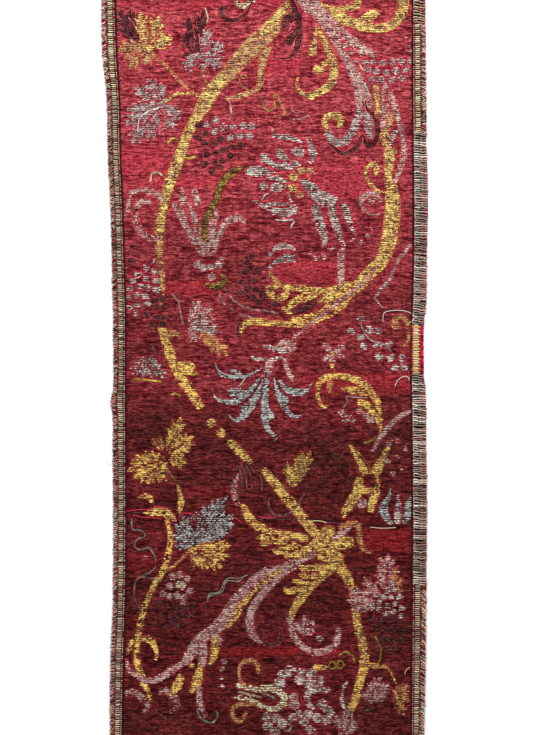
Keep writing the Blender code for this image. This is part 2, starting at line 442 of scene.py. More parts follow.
def ribbon(points):
    """The outline of a band along rows of x, y and width."""
    path = smooth_path(points)
    across = normals_of(path[:, :2]) * 0.5 * path[:, 2:]
    return np.concatenate([path[:, :2] + across, (path[:, :2] - across)[::-1]])


# Across a thread as a share of its half width, and up as a share of its thickness
FLAT_PROFILE = np.array([(-1.0, 0.1), (-0.5, 0.85), (0.5, 0.85), (1.0, 0.1)])
RIDGE_PROFILE = np.array([(-1.0, 0.1), (0.0, 0.9), (1.0, 0.1)])


class ThreadBank:
    """Fine threads gathered into one mesh, each a small tube with closed ends."""

    def __init__(self, name, profile):
        self.name = name
        self.profile = profile
        self.points, self.colours = [], []
        self.faces = {3: [], 4: []}
        self.count = 0

    def lay(self, path, width, thickness, colour, height, taper=0.5):
        """Lays a thread along pixel points, at heights in metres, with a colour for all or each."""
        rings = len(path)
        sides = len(self.profile)
        widths = np.broadcast_to(np.asarray(width, float), (rings,)).copy()
        thick = np.broadcast_to(np.asarray(thickness, float), (rings,)).copy()
        widths[[0, -1]] *= taper
        thick[[0, -1]] *= taper
        across = normals_of(path)
        offset = 0.5 * widths[:, None] * self.profile[:, 0]
        px = path[:, 0][:, None] + across[:, 0][:, None] * offset
        py = path[:, 1][:, None] + across[:, 1][:, None] * offset
        z = np.asarray(height)[:, None] + thick[:, None] * self.profile[:, 1]
        self.points.append(np.stack([to_x(px), to_y(py), z], axis=2).reshape(-1, 3))
        shades = np.broadcast_to(np.asarray(colour, float), (rings, 3))
        self.colours.append(np.repeat(shades, sides, axis=0))
        ring = np.arange(rings - 1)[:, None] * sides + self.count
        side = np.arange(sides)
        after = (side + 1) % sides
        quads = np.stack([ring + side, ring + sides + side, ring + sides + after, ring + after], 2)
        last = self.count + (rings - 1) * sides
        self.faces[4].append(quads.reshape(-1, 4))
        self.faces[sides].append(np.stack([self.count + side, last + side[::-1]]))
        self.count += rings * sides

    def lay_flecks(self, x, y, reach, lean, width, thickness, colours, height):
        """Lays many short pointed threads, by their middles, half lengths and slopes."""
        count = len(x)
        along = np.array([-1.0, 0.0, 0.0, 0.0, 1.0])
        aside = np.array([0.0, -1.0, 0.0, 1.0, 0.0])
        up = np.array([0.1, 0.0, 1.0, 0.0, 0.1])
        size = np.hypot(1.0, lean)[:, None]
        slope = lean[:, None]
        forward = along * reach[:, None] / size
        offset = 0.5 * width[:, None] * aside / size
        px = x[:, None] + forward - offset * slope
        py = y[:, None] + forward * slope + offset
        z = height[:, None] + thickness * up
        self.points.append(np.stack([to_x(px), to_y(py), z], axis=2).reshape(-1, 3))
        self.colours.append(np.repeat(colours, 5, axis=0))
        corners = np.array([(0, 1, 2), (0, 2, 3), (0, 3, 1), (4, 2, 1), (4, 3, 2), (4, 1, 3)])
        first = self.count + 5 * np.arange(count)[:, None, None]
        self.faces[3].append((first + corners).reshape(-1, 3))
        self.count += 5 * count

    def build(self, material):
        """The threads as one object that rides on the panel."""
        points = np.concatenate(self.points)
        kinds = [np.concatenate(found) for found in self.faces.values() if found]
        mesh = bpy.data.meshes.new(self.name)
        mesh.vertices.add(len(points))
        mesh.vertices.foreach_set("co", points.astype(np.float32).ravel())
        loops = np.concatenate([faces.ravel() for faces in kinds])
        mesh.loops.add(len(loops))
        mesh.loops.foreach_set("vertex_index", loops.astype(np.int32))
        sizes = np.concatenate([np.full(len(faces), faces.shape[1]) for faces in kinds])
        starts = np.concatenate([[0], np.cumsum(sizes)[:-1]])
        mesh.polygons.add(len(sizes))
        mesh.polygons.foreach_set("loop_start", starts.astype(np.int32))
        mesh.update(calc_edges=True)
        add_colours(mesh, np.concatenate(self.colours))
        mesh.shade_smooth()
        made = bpy.data.objects.new(self.name, mesh)
        bpy.context.scene.collection.objects.link(made)
        mesh.materials.append(material)
        face_outwards(mesh)
        return made


def face_outwards(mesh):
    shape = bmesh.new()
    shape.from_mesh(mesh)
    bmesh.ops.recalc_face_normals(shape, faces=shape.faces)
    shape.to_mesh(mesh)
    shape.free()


def add_colours(mesh, colours):
    layer = mesh.color_attributes.new("tint", "FLOAT_COLOR", "POINT")
    full = np.ones((len(colours), 4), np.float32)
    full[:, :3] = linear(colours)
    layer.data.foreach_set("color", full.ravel())


def row_middle(row):
    return TOP_PX + (row + 0.5) * WEFT_PITCH


class Design:
    """The pattern as rows of weft: which shape covers each quarter pixel of each row."""

    def __init__(self):
        self.cover = np.zeros((ROWS, IMAGE_WIDTH * CELLS_PER_PIXEL), np.int16)
        self.shapes = [None]
        self.lines = []

    def fill(self, outline, kind, wear=None, edge=True):
        wear = THREADS[kind].wear if wear is None else wear
        self.shapes.append((kind, wear))
        number = len(self.shapes) - 1
        self.paint(outline, number)
        if edge:
            loop = np.concatenate([outline, outline[:1]])
            self.lines.append(Line(loop, OUTLINE_WIDTH, EDGE_COLOURS[kind], 0.25, number))

    def paint(self, outline, number):
        ahead = np.roll(outline, -1, axis=0)
        first = max(0, int((outline[:, 1].min() - TOP_PX) / WEFT_PITCH) - 1)
        last = min(ROWS, int((outline[:, 1].max() - TOP_PX) / WEFT_PITCH) + 1)
        for row in range(first, last):
            y = row_middle(row)
            crossing = (outline[:, 1] <= y) != (ahead[:, 1] <= y)
            start, end = outline[crossing], ahead[crossing]
            where = start[:, 0] + (y - start[:, 1]) * (end - start)[:, 0] / (end - start)[:, 1]
            where = np.sort(where * CELLS_PER_PIXEL).round().astype(int)
            where = np.clip(where, 0, self.cover.shape[1])
            for left, right in zip(where[::2], where[1::2]):
                self.cover[row, left:right] = number

    def gap(self, points):
        """A slit along rows of x, y and width, where the silk shows between two parts."""
        self.paint(ribbon(points), 0)

    def band(self, kind, points, wear=None, edge=True):
        """A band along rows of x, y and width."""
        self.fill(ribbon(points), kind, wear, edge)

    def blob(self, kind, points, wear=None, edge=True):
        self.fill(smooth_path(points, closed=True), kind, wear, edge)

    def leaflets(self, kind, base, tips, teeth=4, wear=None, edge=True):
        """Broad lobes from one base to rows of x, y and width, with teeth that point to each tip."""
        for x, y, width in tips:
            start, end = np.array(base, float), np.array((x, y), float)
            along = end - start
            across = np.array([-along[1], along[0]]) / max(np.hypot(*along), 1e-6)
            side = []
            for k in range(teeth):
                near, far = k / teeth, (k + 1) / teeth
                envelope = 0.5 * width * np.sin(np.pi * (near + 0.5 / teeth) ** 0.8) ** 0.55
                side.append((near + 0.1 / teeth, 0.48 * envelope))
                side.append((near + 0.6 / teeth, 0.86 * envelope))
                side.append((min(far + 0.55 / teeth, 1.0), 1.34 * envelope))
            side[-1] = (1.0, 0.0)
            side = np.array(side)
            left = start + side[:, :1] * along + side[:, 1:] * across
            right = start + side[:, :1] * along - side[:, 1:] * across
            self.fill(np.concatenate([left, right[::-1]]), kind, wear, edge)

    def dots(self, kind, radius, centres, wear=None, edge=True):
        angles = np.linspace(0, 2 * np.pi, 16, endpoint=False)
        circle = np.stack([1.06 * np.cos(angles), 0.96 * np.sin(angles)], axis=1)
        for centre in centres:
            self.fill(np.array(centre, float) + radius * circle, kind, wear, edge)

    def line(self, colour, width, points, wear=0.1):
        self.lines.append(Line(smooth_path(points), width, colour, wear, None))

    def cell_at(self, px, py):
        """The row and the cell that each place lies in."""
        row = np.clip(((py - TOP_PX) / WEFT_PITCH).astype(int), 0, ROWS - 1)
        cell = np.clip((px * CELLS_PER_PIXEL).astype(int), 0, self.cover.shape[1] - 1)
        return row, cell


RED, PINK, WHITE = (212, 58, 80), (224, 118, 118), (228, 224, 214)
GOLDEN, ROSY, CREAMY = (222, 194, 84), (190, 132, 128), (226, 208, 164)
INKY, TAN, SILVERY = (56, 14, 22), (186, 132, 84), (186, 182, 172)


def faint_grapes(design):
    """Grapes worn down to dark silk, hardly darker than the ground."""
    design.dots("dark", 3.7, ((160, 603), (168, 607), (176, 609), (184, 608), (192, 606), (165, 615),
                              (174, 618), (183, 617), (191, 615), (180, 626), (170, 624)), 0.45, False)
    design.dots("dark", 3.7, ((372, 618), (381, 620), (390, 618), (399, 622), (377, 628), (386, 629),
                              (395, 630), (403, 632), (382, 638), (391, 639), (400, 641), (388, 648),
                              (397, 650)), 0.45, False)
    design.dots("dark", 3.8, ((133, 247), (131, 261)), 0.3)


def branch(design):
    """The thin ochre branch off the top of the vine, with its spiral and tendril."""
    design.band("ochre", ((266, 46, 13), (263, 60, 9), (261, 74, 7), (260, 84, 6), (253, 92, 5),
                          (242, 96, 5), (226, 99, 4.5)))
    design.line(TAN, 1.9, ((249, 91), (242, 86), (239, 80), (241, 75.5), (246, 76), (247, 80)))
    design.line(TAN, 2.4, ((260, 88), (262, 103), (268, 110.5), (274.7, 107), (272.6, 98), (277, 94.7),
                           (281, 105), (285, 114.7), (279, 116)))
    design.line(ROSY, 1.6, ((289, 109), (296, 113), (303, 111), (310, 118)), 0.4)
    design.line(ROSY, 1.6, ((289, 119), (299, 120), (309, 115)), 0.4)


def main_vine(design):
    design.band("ochre", ((302, -22, 9), (291, 0, 10), (281, 16, 14), (270, 30, 18), (254, 46, 20),
                          (240, 60, 18), (226, 76, 15), (212, 91, 15)), 0.2)
    design.band("gold", ((288, 4, 6), (278, 17, 10), (266, 30, 10), (258, 38, 6)))
    design.band("gold", ((226, 77, 9), (211, 93, 16), (203, 107, 15), (196, 119, 11), (187, 136, 10.5),
                         (180, 156, 11.5), (170.5, 181, 11.5), (165, 200, 10), (161, 221, 9),
                         (159, 242, 8.5), (159, 252, 5)))
    design.band("ochre", ((159, 244, 8), (160, 262, 7), (162, 282, 6), (162, 304, 5)), 0.5)
    design.band("gold", ((162, 328, 8), (163, 332, 9), (171.5, 358, 10), (182, 379, 10),
                         (190.5, 391, 10), (201, 408, 9)))
    design.blob("gold", ((176, 363), (185, 362), (194, 364), (195, 370), (190, 375), (181, 373)))
    design.line(GOLDEN, 2.6, ((188, 373), (194, 375), (198, 373)))
    design.line(GOLDEN, 2.2, ((171, 396), (175, 394), (181, 397)))
    design.line(GOLDEN, 2.2, ((168, 145), (171.6, 139), (178, 140)))
    design.line(GOLDEN, 2.4, ((181, 158), (189, 158), (196, 156)))
    design.dots("gold", 4.8, ((211.5, 423), (221, 433.5)))
    design.band("gold", ((228, 441, 5), (234.6, 446, 9), (245, 456.6, 8), (252, 464, 4)), 0.3)
    design.band("gold", ((263, 470, 6), (270, 478, 9), (279, 488, 10), (285.6, 497, 10),
                         (298, 511.6, 10), (311, 528.5, 11), (323.6, 539, 11), (332, 549.6, 10),
                         (338, 564, 10), (347, 577, 10), (351, 586, 7)))
    design.band("ochre", ((350, 584, 7), (353, 598, 5), (354, 606, 6)), 0.6)
    design.band("gold", ((354, 603, 7), (357, 622, 8), (359.5, 632, 9), (363.7, 649, 9),
                         (363.7, 665.6, 9), (359.5, 682.5, 9), (355, 699.4, 9), (347, 718, 8),
                         (342.6, 731, 8), (344, 752, 8)), 0.26)


def upper_leaves(design):
    """The three leaves left of the vine at the top, with their stems."""
    design.leaflets("dark", (138, 45), ((119, 9, 19), (133, 12, 12)))
    design.leaflets("gold", (147, 48), ((140, 12, 13), (160, 16, 16), (173, 37, 16)))
    design.leaflets("ochre", (151, 47), ((118, 51, 17), (127, 68, 15), (145, 66, 13)))
    design.dots("gold", 7, ((149, 46),), edge=False)
    for slit in (((149, 44, 1.4), (150, 32, 2.4), (149, 20, 1.4)), ((152, 46, 1.2), (160, 36, 1.8)),
                 ((146, 50, 1.2), (134, 57, 1.8)), ((148, 52, 1.2), (139, 62, 1.8))):
        design.gap(slit)
    design.line((222, 120, 84), 1.6, ((137, 33), (145, 42), (153, 52)), 0)
    design.line(PINK, 1.2, ((128, 17), (133, 24), (137, 31)), 0)
    design.band("ochre", ((153, 54, 3), (165, 66, 3), (178, 79, 3.4), (190, 91, 3)))
    design.leaflets("dark", (198, 55), ((182, 57, 10), (181, 34, 11), (188, 16, 13), (204, 8, 14)))
    design.line(CREAMY, 1.2, ((205, 8), (208, 19), (206, 24)), 0)
    design.line(PINK, 1.2, ((199, 33), (199.5, 45)), 0)
    design.leaflets("grey", (202, 54), ((210, 27, 11), (226, 44, 14), (222, 66, 15), (204, 71, 12),
                                        (183, 70, 14)), wear=0.22)
    for slit in (((204, 52, 1.2), (214, 46, 1.8)), ((205, 57, 1.2), (216, 57, 1.8)),
                 ((200, 58, 1.2), (193, 64, 1.8))):
        design.gap(slit)
    design.band("ochre", ((202, 65, 2), (203, 74, 2.2), (207, 84, 2.2)))
    design.leaflets("grey", (163, 106), ((133, 86, 12), (147, 78, 14), (161, 82, 11), (175, 132, 12),
                                         (182, 120, 12), (160, 136, 11), (146, 142, 12)))
    design.leaflets("grey", (160, 107), ((130, 145, 14), (124, 125, 15), (125, 109, 11)))
    for slit in (((162, 110, 1.6), (162, 122, 3), (161, 136, 2.4)), ((158, 103, 1.2), (148, 95, 1.8)),
                 ((157, 108, 1.2), (142, 113, 1.8)), ((158, 111, 1.2), (144, 127, 1.8))):
        design.gap(slit)
    design.line(WHITE, 1.4, ((161, 107), (148, 112), (139, 121), (138, 133)))
    design.line(PINK, 1.2, ((154, 84), (158, 93), (161, 101)), 0)
    design.band("gold", ((164, 104, 2.5), (176, 95, 4), (190.5, 94, 4), (201, 97, 3)))


def upper_grapes(design):
    design.line(ROSY, 2.2, ((229, 101), (231, 111), (230, 121)))
    design.dots("grey", 4.1, ((208, 125), (216, 121), (224, 127), (233, 127), (243, 126), (251.5, 127),
                                (215, 132), (224, 130.5), (230.5, 138.5), (239.5, 136), (249, 136)))
    design.dots("dark", 3.9, ((199, 126), (206, 134), (198, 138), (205, 144), (215, 143), (221, 139),
                              (240, 145), (231.5, 148), (223, 150.5), (216, 152.6), (207, 155),
                              (230.5, 156), (205, 164), (215, 162), (222, 161), (220, 167),
                              (211.6, 171.6)))


def top_scrolls(design):
    """Scrolls and acanthus along the top: dark, rose and gold."""
    design.band("dark", ((227, 7, 4), (222, 8, 6), (221, 13, 5), (226, 19, 5), (234, 20, 5), (241, 17, 4),
                         (247, 12, 3), (250, 6, 2.5), (253, -8, 2.5)))
    design.line(CREAMY, 1.6, ((224, 12), (226, 16)), 0)
    design.band("cream", ((236, -4, 4), (237, 3, 5), (243, 6, 6), (249, 2, 4), (250, -5, 3)))
    design.dots("cream", 1.8, ((254, 2), (153, 0.5)))
    design.dots("grey", 1.8, ((159, 2),))
    design.band("dark", ((290, -6, 3), (294, 6, 5), (298, 18, 7), (299.5, 30, 7), (298, 42, 7),
                         (295, 52, 5), (288, 59, 3), (277, 59, 1.5)))
    design.band("dark", ((296, 11, 5), (289, 18, 8), (285, 24, 9), (284, 29, 5)))
    design.band("dark", ((299, 30, 6), (292, 37, 8), (289, 42, 9), (289, 47, 4)))
    design.line(PINK, 1.3, ((288, 32), (291, 27), (292.5, 23), (296, 22)), 0)
    design.line(PINK, 1.3, ((290, 49), (293, 46), (295, 41)), 0)
    design.band("rose", ((292, -22, 20), (306, 0, 18), (320, 13, 17), (334, 28, 17), (347, 38, 10),
                         (361, 48, 10), (372, 54, 7), (379, 55, 2)))
    design.band("rose", ((326, 24, 12), (335, 40, 9), (342, 52, 8), (350, 66, 10), (357, 80, 13),
                         (362, 94, 17), (364, 106, 16), (362, 116, 10)))
    design.band("grey", ((365, 104, 6), (367, 116, 9), (369, 128, 9), (370, 139, 5)))
    design.band("grey", ((361, 108, 8), (357, 120, 9), (353, 131, 9), (345, 141, 10), (336, 143, 9),
                         (329, 136, 8), (327, 126, 6)))
    design.band("gold", ((327.5, 132, 3), (325.5, 126, 6), (324.5, 121, 6), (329.5, 116, 7),
                         (338, 117, 8), (341, 123, 7), (337, 127, 4)))
    design.band("dark", ((363.5, 101, 3), (367, 109, 4), (373, 115, 5), (377, 125, 5), (377, 137, 5),
                         (372, 146, 6), (366, 145, 5), (362.5, 136, 4), (359, 144, 5), (352, 151, 6),
                         (344, 155, 5), (336, 150, 4), (330, 144, 2)))
    design.line(PINK, 1.2, ((348, 60), (357, 80), (363, 98), (366, 112)), 0.2)
    design.line(WHITE, 1.6, ((344, 58), (349, 68), (354, 80)), 0.45)
    design.line(WHITE, 1.8, ((361, 80), (366, 88), (370, 98)), 0.35)
    design.line(RED, 2.2, ((337, 33), (346, 43), (352, 50), (361, 56)), 0.1)
    design.dots("silver", 3.4, ((339, 37), (345.5, 45), (352, 52), (360.5, 54.5)))
    design.line(PINK, 1.5, ((391, 38), (393, 44), (389, 50), (383, 53)), 0.4)
    design.line(CREAMY, 1.4, ((359, 64), (363, 71), (367, 77)), 0.4)


def gold_scrolls(design):
    """Gold scrolls at the top right and the two that hang below them."""
    design.band("gold", ((320, 4, 2), (330, 9, 6), (340, 17, 12), (352, 23, 11), (368, 28, 9),
                         (382, 29, 9), (394, 24, 10), (401, 14, 11), (403, 2, 12), (400, -12, 10)))
    design.band("gold", ((328, 8, 4), (340, 9, 6), (350, 8, 8), (357, 4, 9), (359, 0, 5)))
    design.band("gold", ((351, 22, 4), (362, 20, 7), (371, 16, 10), (378, 12, 8)))
    design.band("silver", ((404, 38, 1.5), (406, 38, 2), (408, 37.6, 1.5)))
    design.band("silver", ((404, 40.6, 1.5), (407, 40.4, 1.5)))
    design.dots("silver", 2.0, ((411, 45), (410, 48)))
    design.dots("silver", 2.8, ((411, 52),))
    design.band("gold", ((317, 26, 3), (315, 38, 4), (313, 49, 7), (312.5, 56, 8)))
    design.band("gold", ((318, 28, 4), (323, 39, 6), (328, 50, 8), (332.5, 62, 9), (334, 74, 9),
                         (331, 84, 9), (323, 91, 9), (314, 95, 8), (305, 95, 6), (299, 90, 4),
                         (296.5, 83, 2.5), (298.5, 77, 2)))
    design.dots("gold", 5.6, ((318.5, 70),))
    design.band("gold", ((320, 66, 5), (325, 63, 5), (330, 62, 5)))


def right_grapes(design):
    design.dots("grey", 4.1, ((364.5, 62.5), (373.5, 62.5), (383, 63), (392.5, 62.5), (401.5, 61.5),
                              (411, 61.5), (367.5, 69.5), (376.5, 71.5), (387, 73), (396, 70.5),
                              (405.5, 70), (372, 80), (381, 80), (392, 80.5), (401.5, 79)))
    design.dots("grey", 2.8, ((356.5, 60.5),))


def right_bands(design):
    """The long strips that run down the right side and turn into the acanthus."""
    design.band("ochre", ((375, 84, 6), (376.5, 92, 8), (377, 104, 7), (376.5, 118, 3)))
    design.band("gold", ((376, 98, 4), (378, 108, 4), (377, 116, 2)))
    design.band("rose", ((385, 83, 3), (386, 90, 8), (386, 100, 9), (384, 112, 8), (383, 122, 7),
                         (382, 131, 3)))
    design.gap(((388, 88, 1), (386.5, 98, 1.8), (385, 107, 1)))
    design.band("rose", ((390, 90, 3), (393.5, 102, 6), (396, 112, 7), (398.6, 121, 6), (402, 135, 6),
                         (404, 150, 6), (402.6, 161, 6), (396.6, 178, 5), (389, 190, 3)))
    design.band("ochre", ((388, 110, 4), (390.5, 117, 6), (389, 126, 5), (386, 131, 4)))
    design.band("silver", ((397, 130, 4), (393, 137, 7), (390, 144, 5), (388, 148, 2)), 0.1)
    design.band("gold", ((388, 128, 3), (385, 133, 9), (384, 141, 7), (387, 147, 5)))
    design.band("gold", ((390, 148, 12), (389.6, 158, 12), (388.5, 170, 9), (388, 188, 6)))
    design.band("silver", ((411, 244, 3), (400.7, 257, 4), (394, 269.5, 4), (388, 282, 5),
                           (379.7, 290.5, 4), (375.5, 299, 3), (384, 309.5, 2)))
    scales = ((390, 182, 8), (392, 192, 13), (392.6, 210, 16), (390, 236, 16), (386, 250, 15),
              (380, 263, 14), (367, 276, 13), (352.5, 290.5, 12), (335.6, 303, 10), (322, 312, 5))
    design.band("gold", scales, 0.22)
    for x, y, width in smooth_path(scales[1:-1], 13):
        design.line(TAN, 2.0, ((x - 0.36 * width, y + 2), (x, y + 4.5), (x + 0.36 * width, y + 1)), 0.2)
    design.band("dark", ((318, 300, 4), (309, 305, 8), (298, 312, 6), (290, 308, 4)), 0.0, False)
    design.band("gold", ((265, 295, 2), (270, 289, 6), (280, 286, 5), (295, 288, 6), (312, 291, 7),
                         (330, 291, 8), (345, 287, 9), (352, 283, 4)))
    for lobe in (((268, 292, 4), (273, 296, 8), (281, 300, 5)), ((287, 289, 4), (285, 295, 8), (279, 300, 5)),
                 ((304, 295, 4), (297, 300, 7), (290, 306, 7), (287, 309, 3)),
                 ((318, 293, 5), (309, 298, 6), (300, 302, 4)),
                 ((341, 291, 6), (330, 297, 9), (321, 301, 6), (317, 302, 3)),
                 ((282, 308, 3), (287, 311, 6), (291, 316, 4)),
                 ((291, 319, 5), (302, 319, 9), (312, 317, 8), (322, 312, 4))):
        design.band("gold", lobe)
    for slit in (((282, 291, 1.2), (277, 296, 1.8), (275, 301, 1.8)),
                 ((292, 292, 1.4), (291, 298, 2), (285, 304, 2)),
                 ((306, 293, 1.2), (303, 298, 1.8)), ((322, 294, 1.4), (314, 300, 2), (308, 303, 2)),
                 ((286, 315, 1.6), (296, 315, 2), (306, 313, 1.4))):
        design.gap(slit)
    design.band("gold", ((240, 333, 3), (244, 325, 6), (252, 322, 7), (262, 322, 7), (276, 323.5, 6),
                         (294, 325, 6), (312, 322, 7), (323, 316, 7), (335, 311, 7), (344, 305, 6),
                         (350, 298, 3)))
    design.band("rose", ((292, 340, 3), (312, 323, 3), (325, 312.5, 3.4), (341, 300, 3.6), (356, 289, 3.4),
                         (367, 278, 3), (378, 265, 2)), 0.1)
    design.band("dark", ((240, 322, 3), (237, 333, 4), (241, 342, 2)))
    for points in (((219, 294.7), (226, 305), (243, 315.7), (255.6, 319)),
                   ((224, 288), (234.6, 301), (251, 309), (279, 313.6))):
        design.line(ROSY, 2.4, points, 0.2)
    design.band("gold", ((374, 175, 4), (377, 171, 6), (374.5, 165.5, 5), (369, 166, 4), (366, 171, 4),
                         (367, 179, 4.5), (372, 186, 4), (380, 191, 2.5), (390, 191, 2.5)))
    design.band("rose", ((380, 203, 3), (379, 197, 4), (372, 193, 6), (364, 196, 7), (361, 203, 5),
                         (366, 211, 4), (376, 215, 3), (383, 211, 2)))
    design.dots("rose", 3.6, ((372, 200),))


def central_flower(design):
    """The silver flower inside the scroll: curled petals, gold beads and a fingered trumpet."""
    for petal in (((272.7, 129, 2), (274, 136, 4), (287, 136.5, 6), (300, 142, 4), (301, 148, 3)),
                  ((307, 138, 3), (311, 146, 7), (313, 155, 9), (310, 164, 3)),
                  ((291, 151, 3), (298, 151.5, 11), (305, 153, 5)),
                  ((277, 149, 6), (281, 155, 9), (290, 165, 6)),
                  ((259.5, 155, 6), (265, 158, 9), (274, 167, 5)),
                  ((268, 165, 3), (278, 166, 8), (290, 165.5, 9), (303, 163, 3)),
                  ((244, 174, 2), (252, 171.5, 11), (264, 172, 9), (275, 172, 2)),
                  ((266, 179, 2), (275, 178.5, 7), (287, 182, 2)),
                  ((258, 187, 3), (263, 186.5, 9), (268.5, 186, 6)),
                  ((270.5, 187.5, 5), (278, 188, 9), (287, 187, 4)),
                  ((259, 204, 3), (268, 206.5, 10), (283, 210, 17), (298, 210, 8)),
                  ((251, 200, 1.5), (257, 202, 3), (263, 204, 2)),
                  ((288, 192, 3), (289, 197, 3), (291, 202, 4))):
        design.band("silver", petal)
    for slit in (((269, 166, 1.4), (277, 171, 1.8), (287, 178, 1.4)), ((286, 160, 1.4), (291, 166, 1.4)),
                 ((306, 150, 1.6), (306, 160, 2.2), (305, 168, 1.6)), ((268, 206, 1), (291, 208, 2))):
        design.gap(slit)
    for points in (((252, 171), (272, 173)), ((277, 139), (297, 140)), ((262, 181.5), (285, 182))):
        design.line(INKY, 1.1, points, 0)
    design.line(WHITE, 1.5, ((274.6, 220), (284, 221), (294, 220.6), (290.6, 227.6)), 0)
    design.line(WHITE, 1.6, ((269, 193.4), (264.5, 195.5), (262, 200.5)))
    design.dots("gold", 4.6, ((293.5, 177), (292.6, 188.6)))
    design.dots("ochre", 4.2, ((301, 171), (310, 171), (299.6, 195)))
    design.band("silver", ((302, 179, 6), (309, 187, 12), (319, 196, 15), (334, 206, 20)))
    for finger in (((315, 204, 9), (319, 222, 10), (325, 240, 7), (322, 248, 3)),
                   ((331, 206, 9), (335, 222, 9), (340, 236, 7), (344, 246, 3)),
                   ((343, 203, 8), (347, 215, 8), (352, 228, 6), (356, 236, 2))):
        design.band("silver", finger)
    design.gap(((325, 205, 1.4), (327, 222, 2.4), (331, 240, 2)))
    design.gap(((339, 204, 1.4), (342, 218, 2.2), (346, 232, 2)))
    design.line(ROSY, 1.3, ((328, 208), (332, 222), (336, 238)), 0.1)
    design.band("rose", ((344, 247, 3), (341, 255, 7), (341, 270, 7.5), (340, 286, 6)))
    design.dots("silver", 3.2, ((331, 248), (368, 236), (324, 256)))
    design.dots("silver", 2.5, ((316, 258), (311, 254), (352, 240), (361, 243), (371, 228)))


def left_tulip(design):
    """The olive stem from the flower to the tulip left of it, the scroll and its dark grapes."""
    design.band("rose", ((181, 187, 3), (182, 194, 7), (184, 206, 9)))
    design.band("rose", ((193, 188, 3), (195, 194, 7), (198, 206, 9)))
    for strand in (((172, 203, 4), (179, 211, 9), (194, 238, 9), (202, 254, 6)),
                   ((186, 203, 4), (192, 214, 9), (201, 240, 9), (206, 256, 6)),
                   ((213, 202, 7), (214, 218, 9), (212, 240, 9), (209, 256, 6)),
                   ((245, 224, 3), (239, 218, 8), (226, 223, 8), (219, 238, 6), (213, 252, 6))):
        design.band("rose", strand)
    for slit in (((186, 204, 2.4), (190, 222, 4), (193, 230, 2)), ((222, 206, 2), (216, 232, 1.6)),
                 ((199, 203, 1.6), (198, 236, 1.4))):
        design.gap(slit)
    design.band("olive", ((244, 167, 3), (236, 171, 7), (228, 176, 8), (220, 187, 8), (217, 199, 7),
                          (211, 210, 7), (205.5, 220, 7), (204.5, 232, 7), (206, 242, 4)))
    design.dots("silver", 4.3, ((197.4, 265.6), (203.8, 268), (211, 267.4), (218.6, 265.6)))
    design.dots("silver", 2.6, ((221.6, 259.5),))
    design.dots("rose", 4.4, ((212, 277.6),))
    design.band("olive", ((205, 284, 2), (210, 287, 5), (217, 287, 7), (223, 283, 6), (224.5, 277, 3),
                          (220, 276, 2)))
    design.band("rose", ((129, 194, 5), (142, 190, 6), (157, 194, 6), (163, 202, 4)))
    design.band("rose", ((152, 202, 4), (141, 202, 7), (135, 214, 7), (139, 229, 7), (146, 237, 7),
                         (161, 240, 4)), 0.5)
    design.band("rose", ((129.5, 197, 4), (128, 210, 5), (126, 217, 3)), 0.5)
    design.line(CREAMY, 2.0, ((150.5, 183), (151.6, 175), (157, 172.6), (163, 176)))
    design.dots("silver", 3.8, ((152, 262), (154, 272), (146, 268), (138, 275), (133, 281), (146, 279),
                                (156, 281), (140, 287), (148, 288), (157, 290), (130, 289), (137, 295),
                                (145, 296), (128, 298), (138, 304), (129.5, 307), (147, 304),
                                (136, 313)), 0.3)
    design.dots("dark", 3.8, ((155, 300), (163, 299), (156, 307), (165, 307), (147, 314), (157, 317),
                              (165, 317), (152, 325), (163, 324)))
    design.dots("dark", 3.9, ((252, 257), (247, 263.6), (245, 272.7), (257, 270), (252.4, 280.6),
                              (241.5, 282.4), (247.5, 289), (256, 290), (241, 292.7), (252, 297.5),
                              (258.4, 302), (262.7, 295), (275, 304)))
    design.band("silver", ((272, 250, 5), (280, 246, 7), (290, 247, 6), (296, 251, 3)))
    design.band("silver", ((273, 264, 3), (278, 261, 6), (286, 258, 9), (297, 260, 5)))
    design.dots("silver", 3, ((270.5, 254), (270.5, 268)))
    design.band("ochre", ((268, 271, 4), (275, 280, 5), (284, 286, 5)))


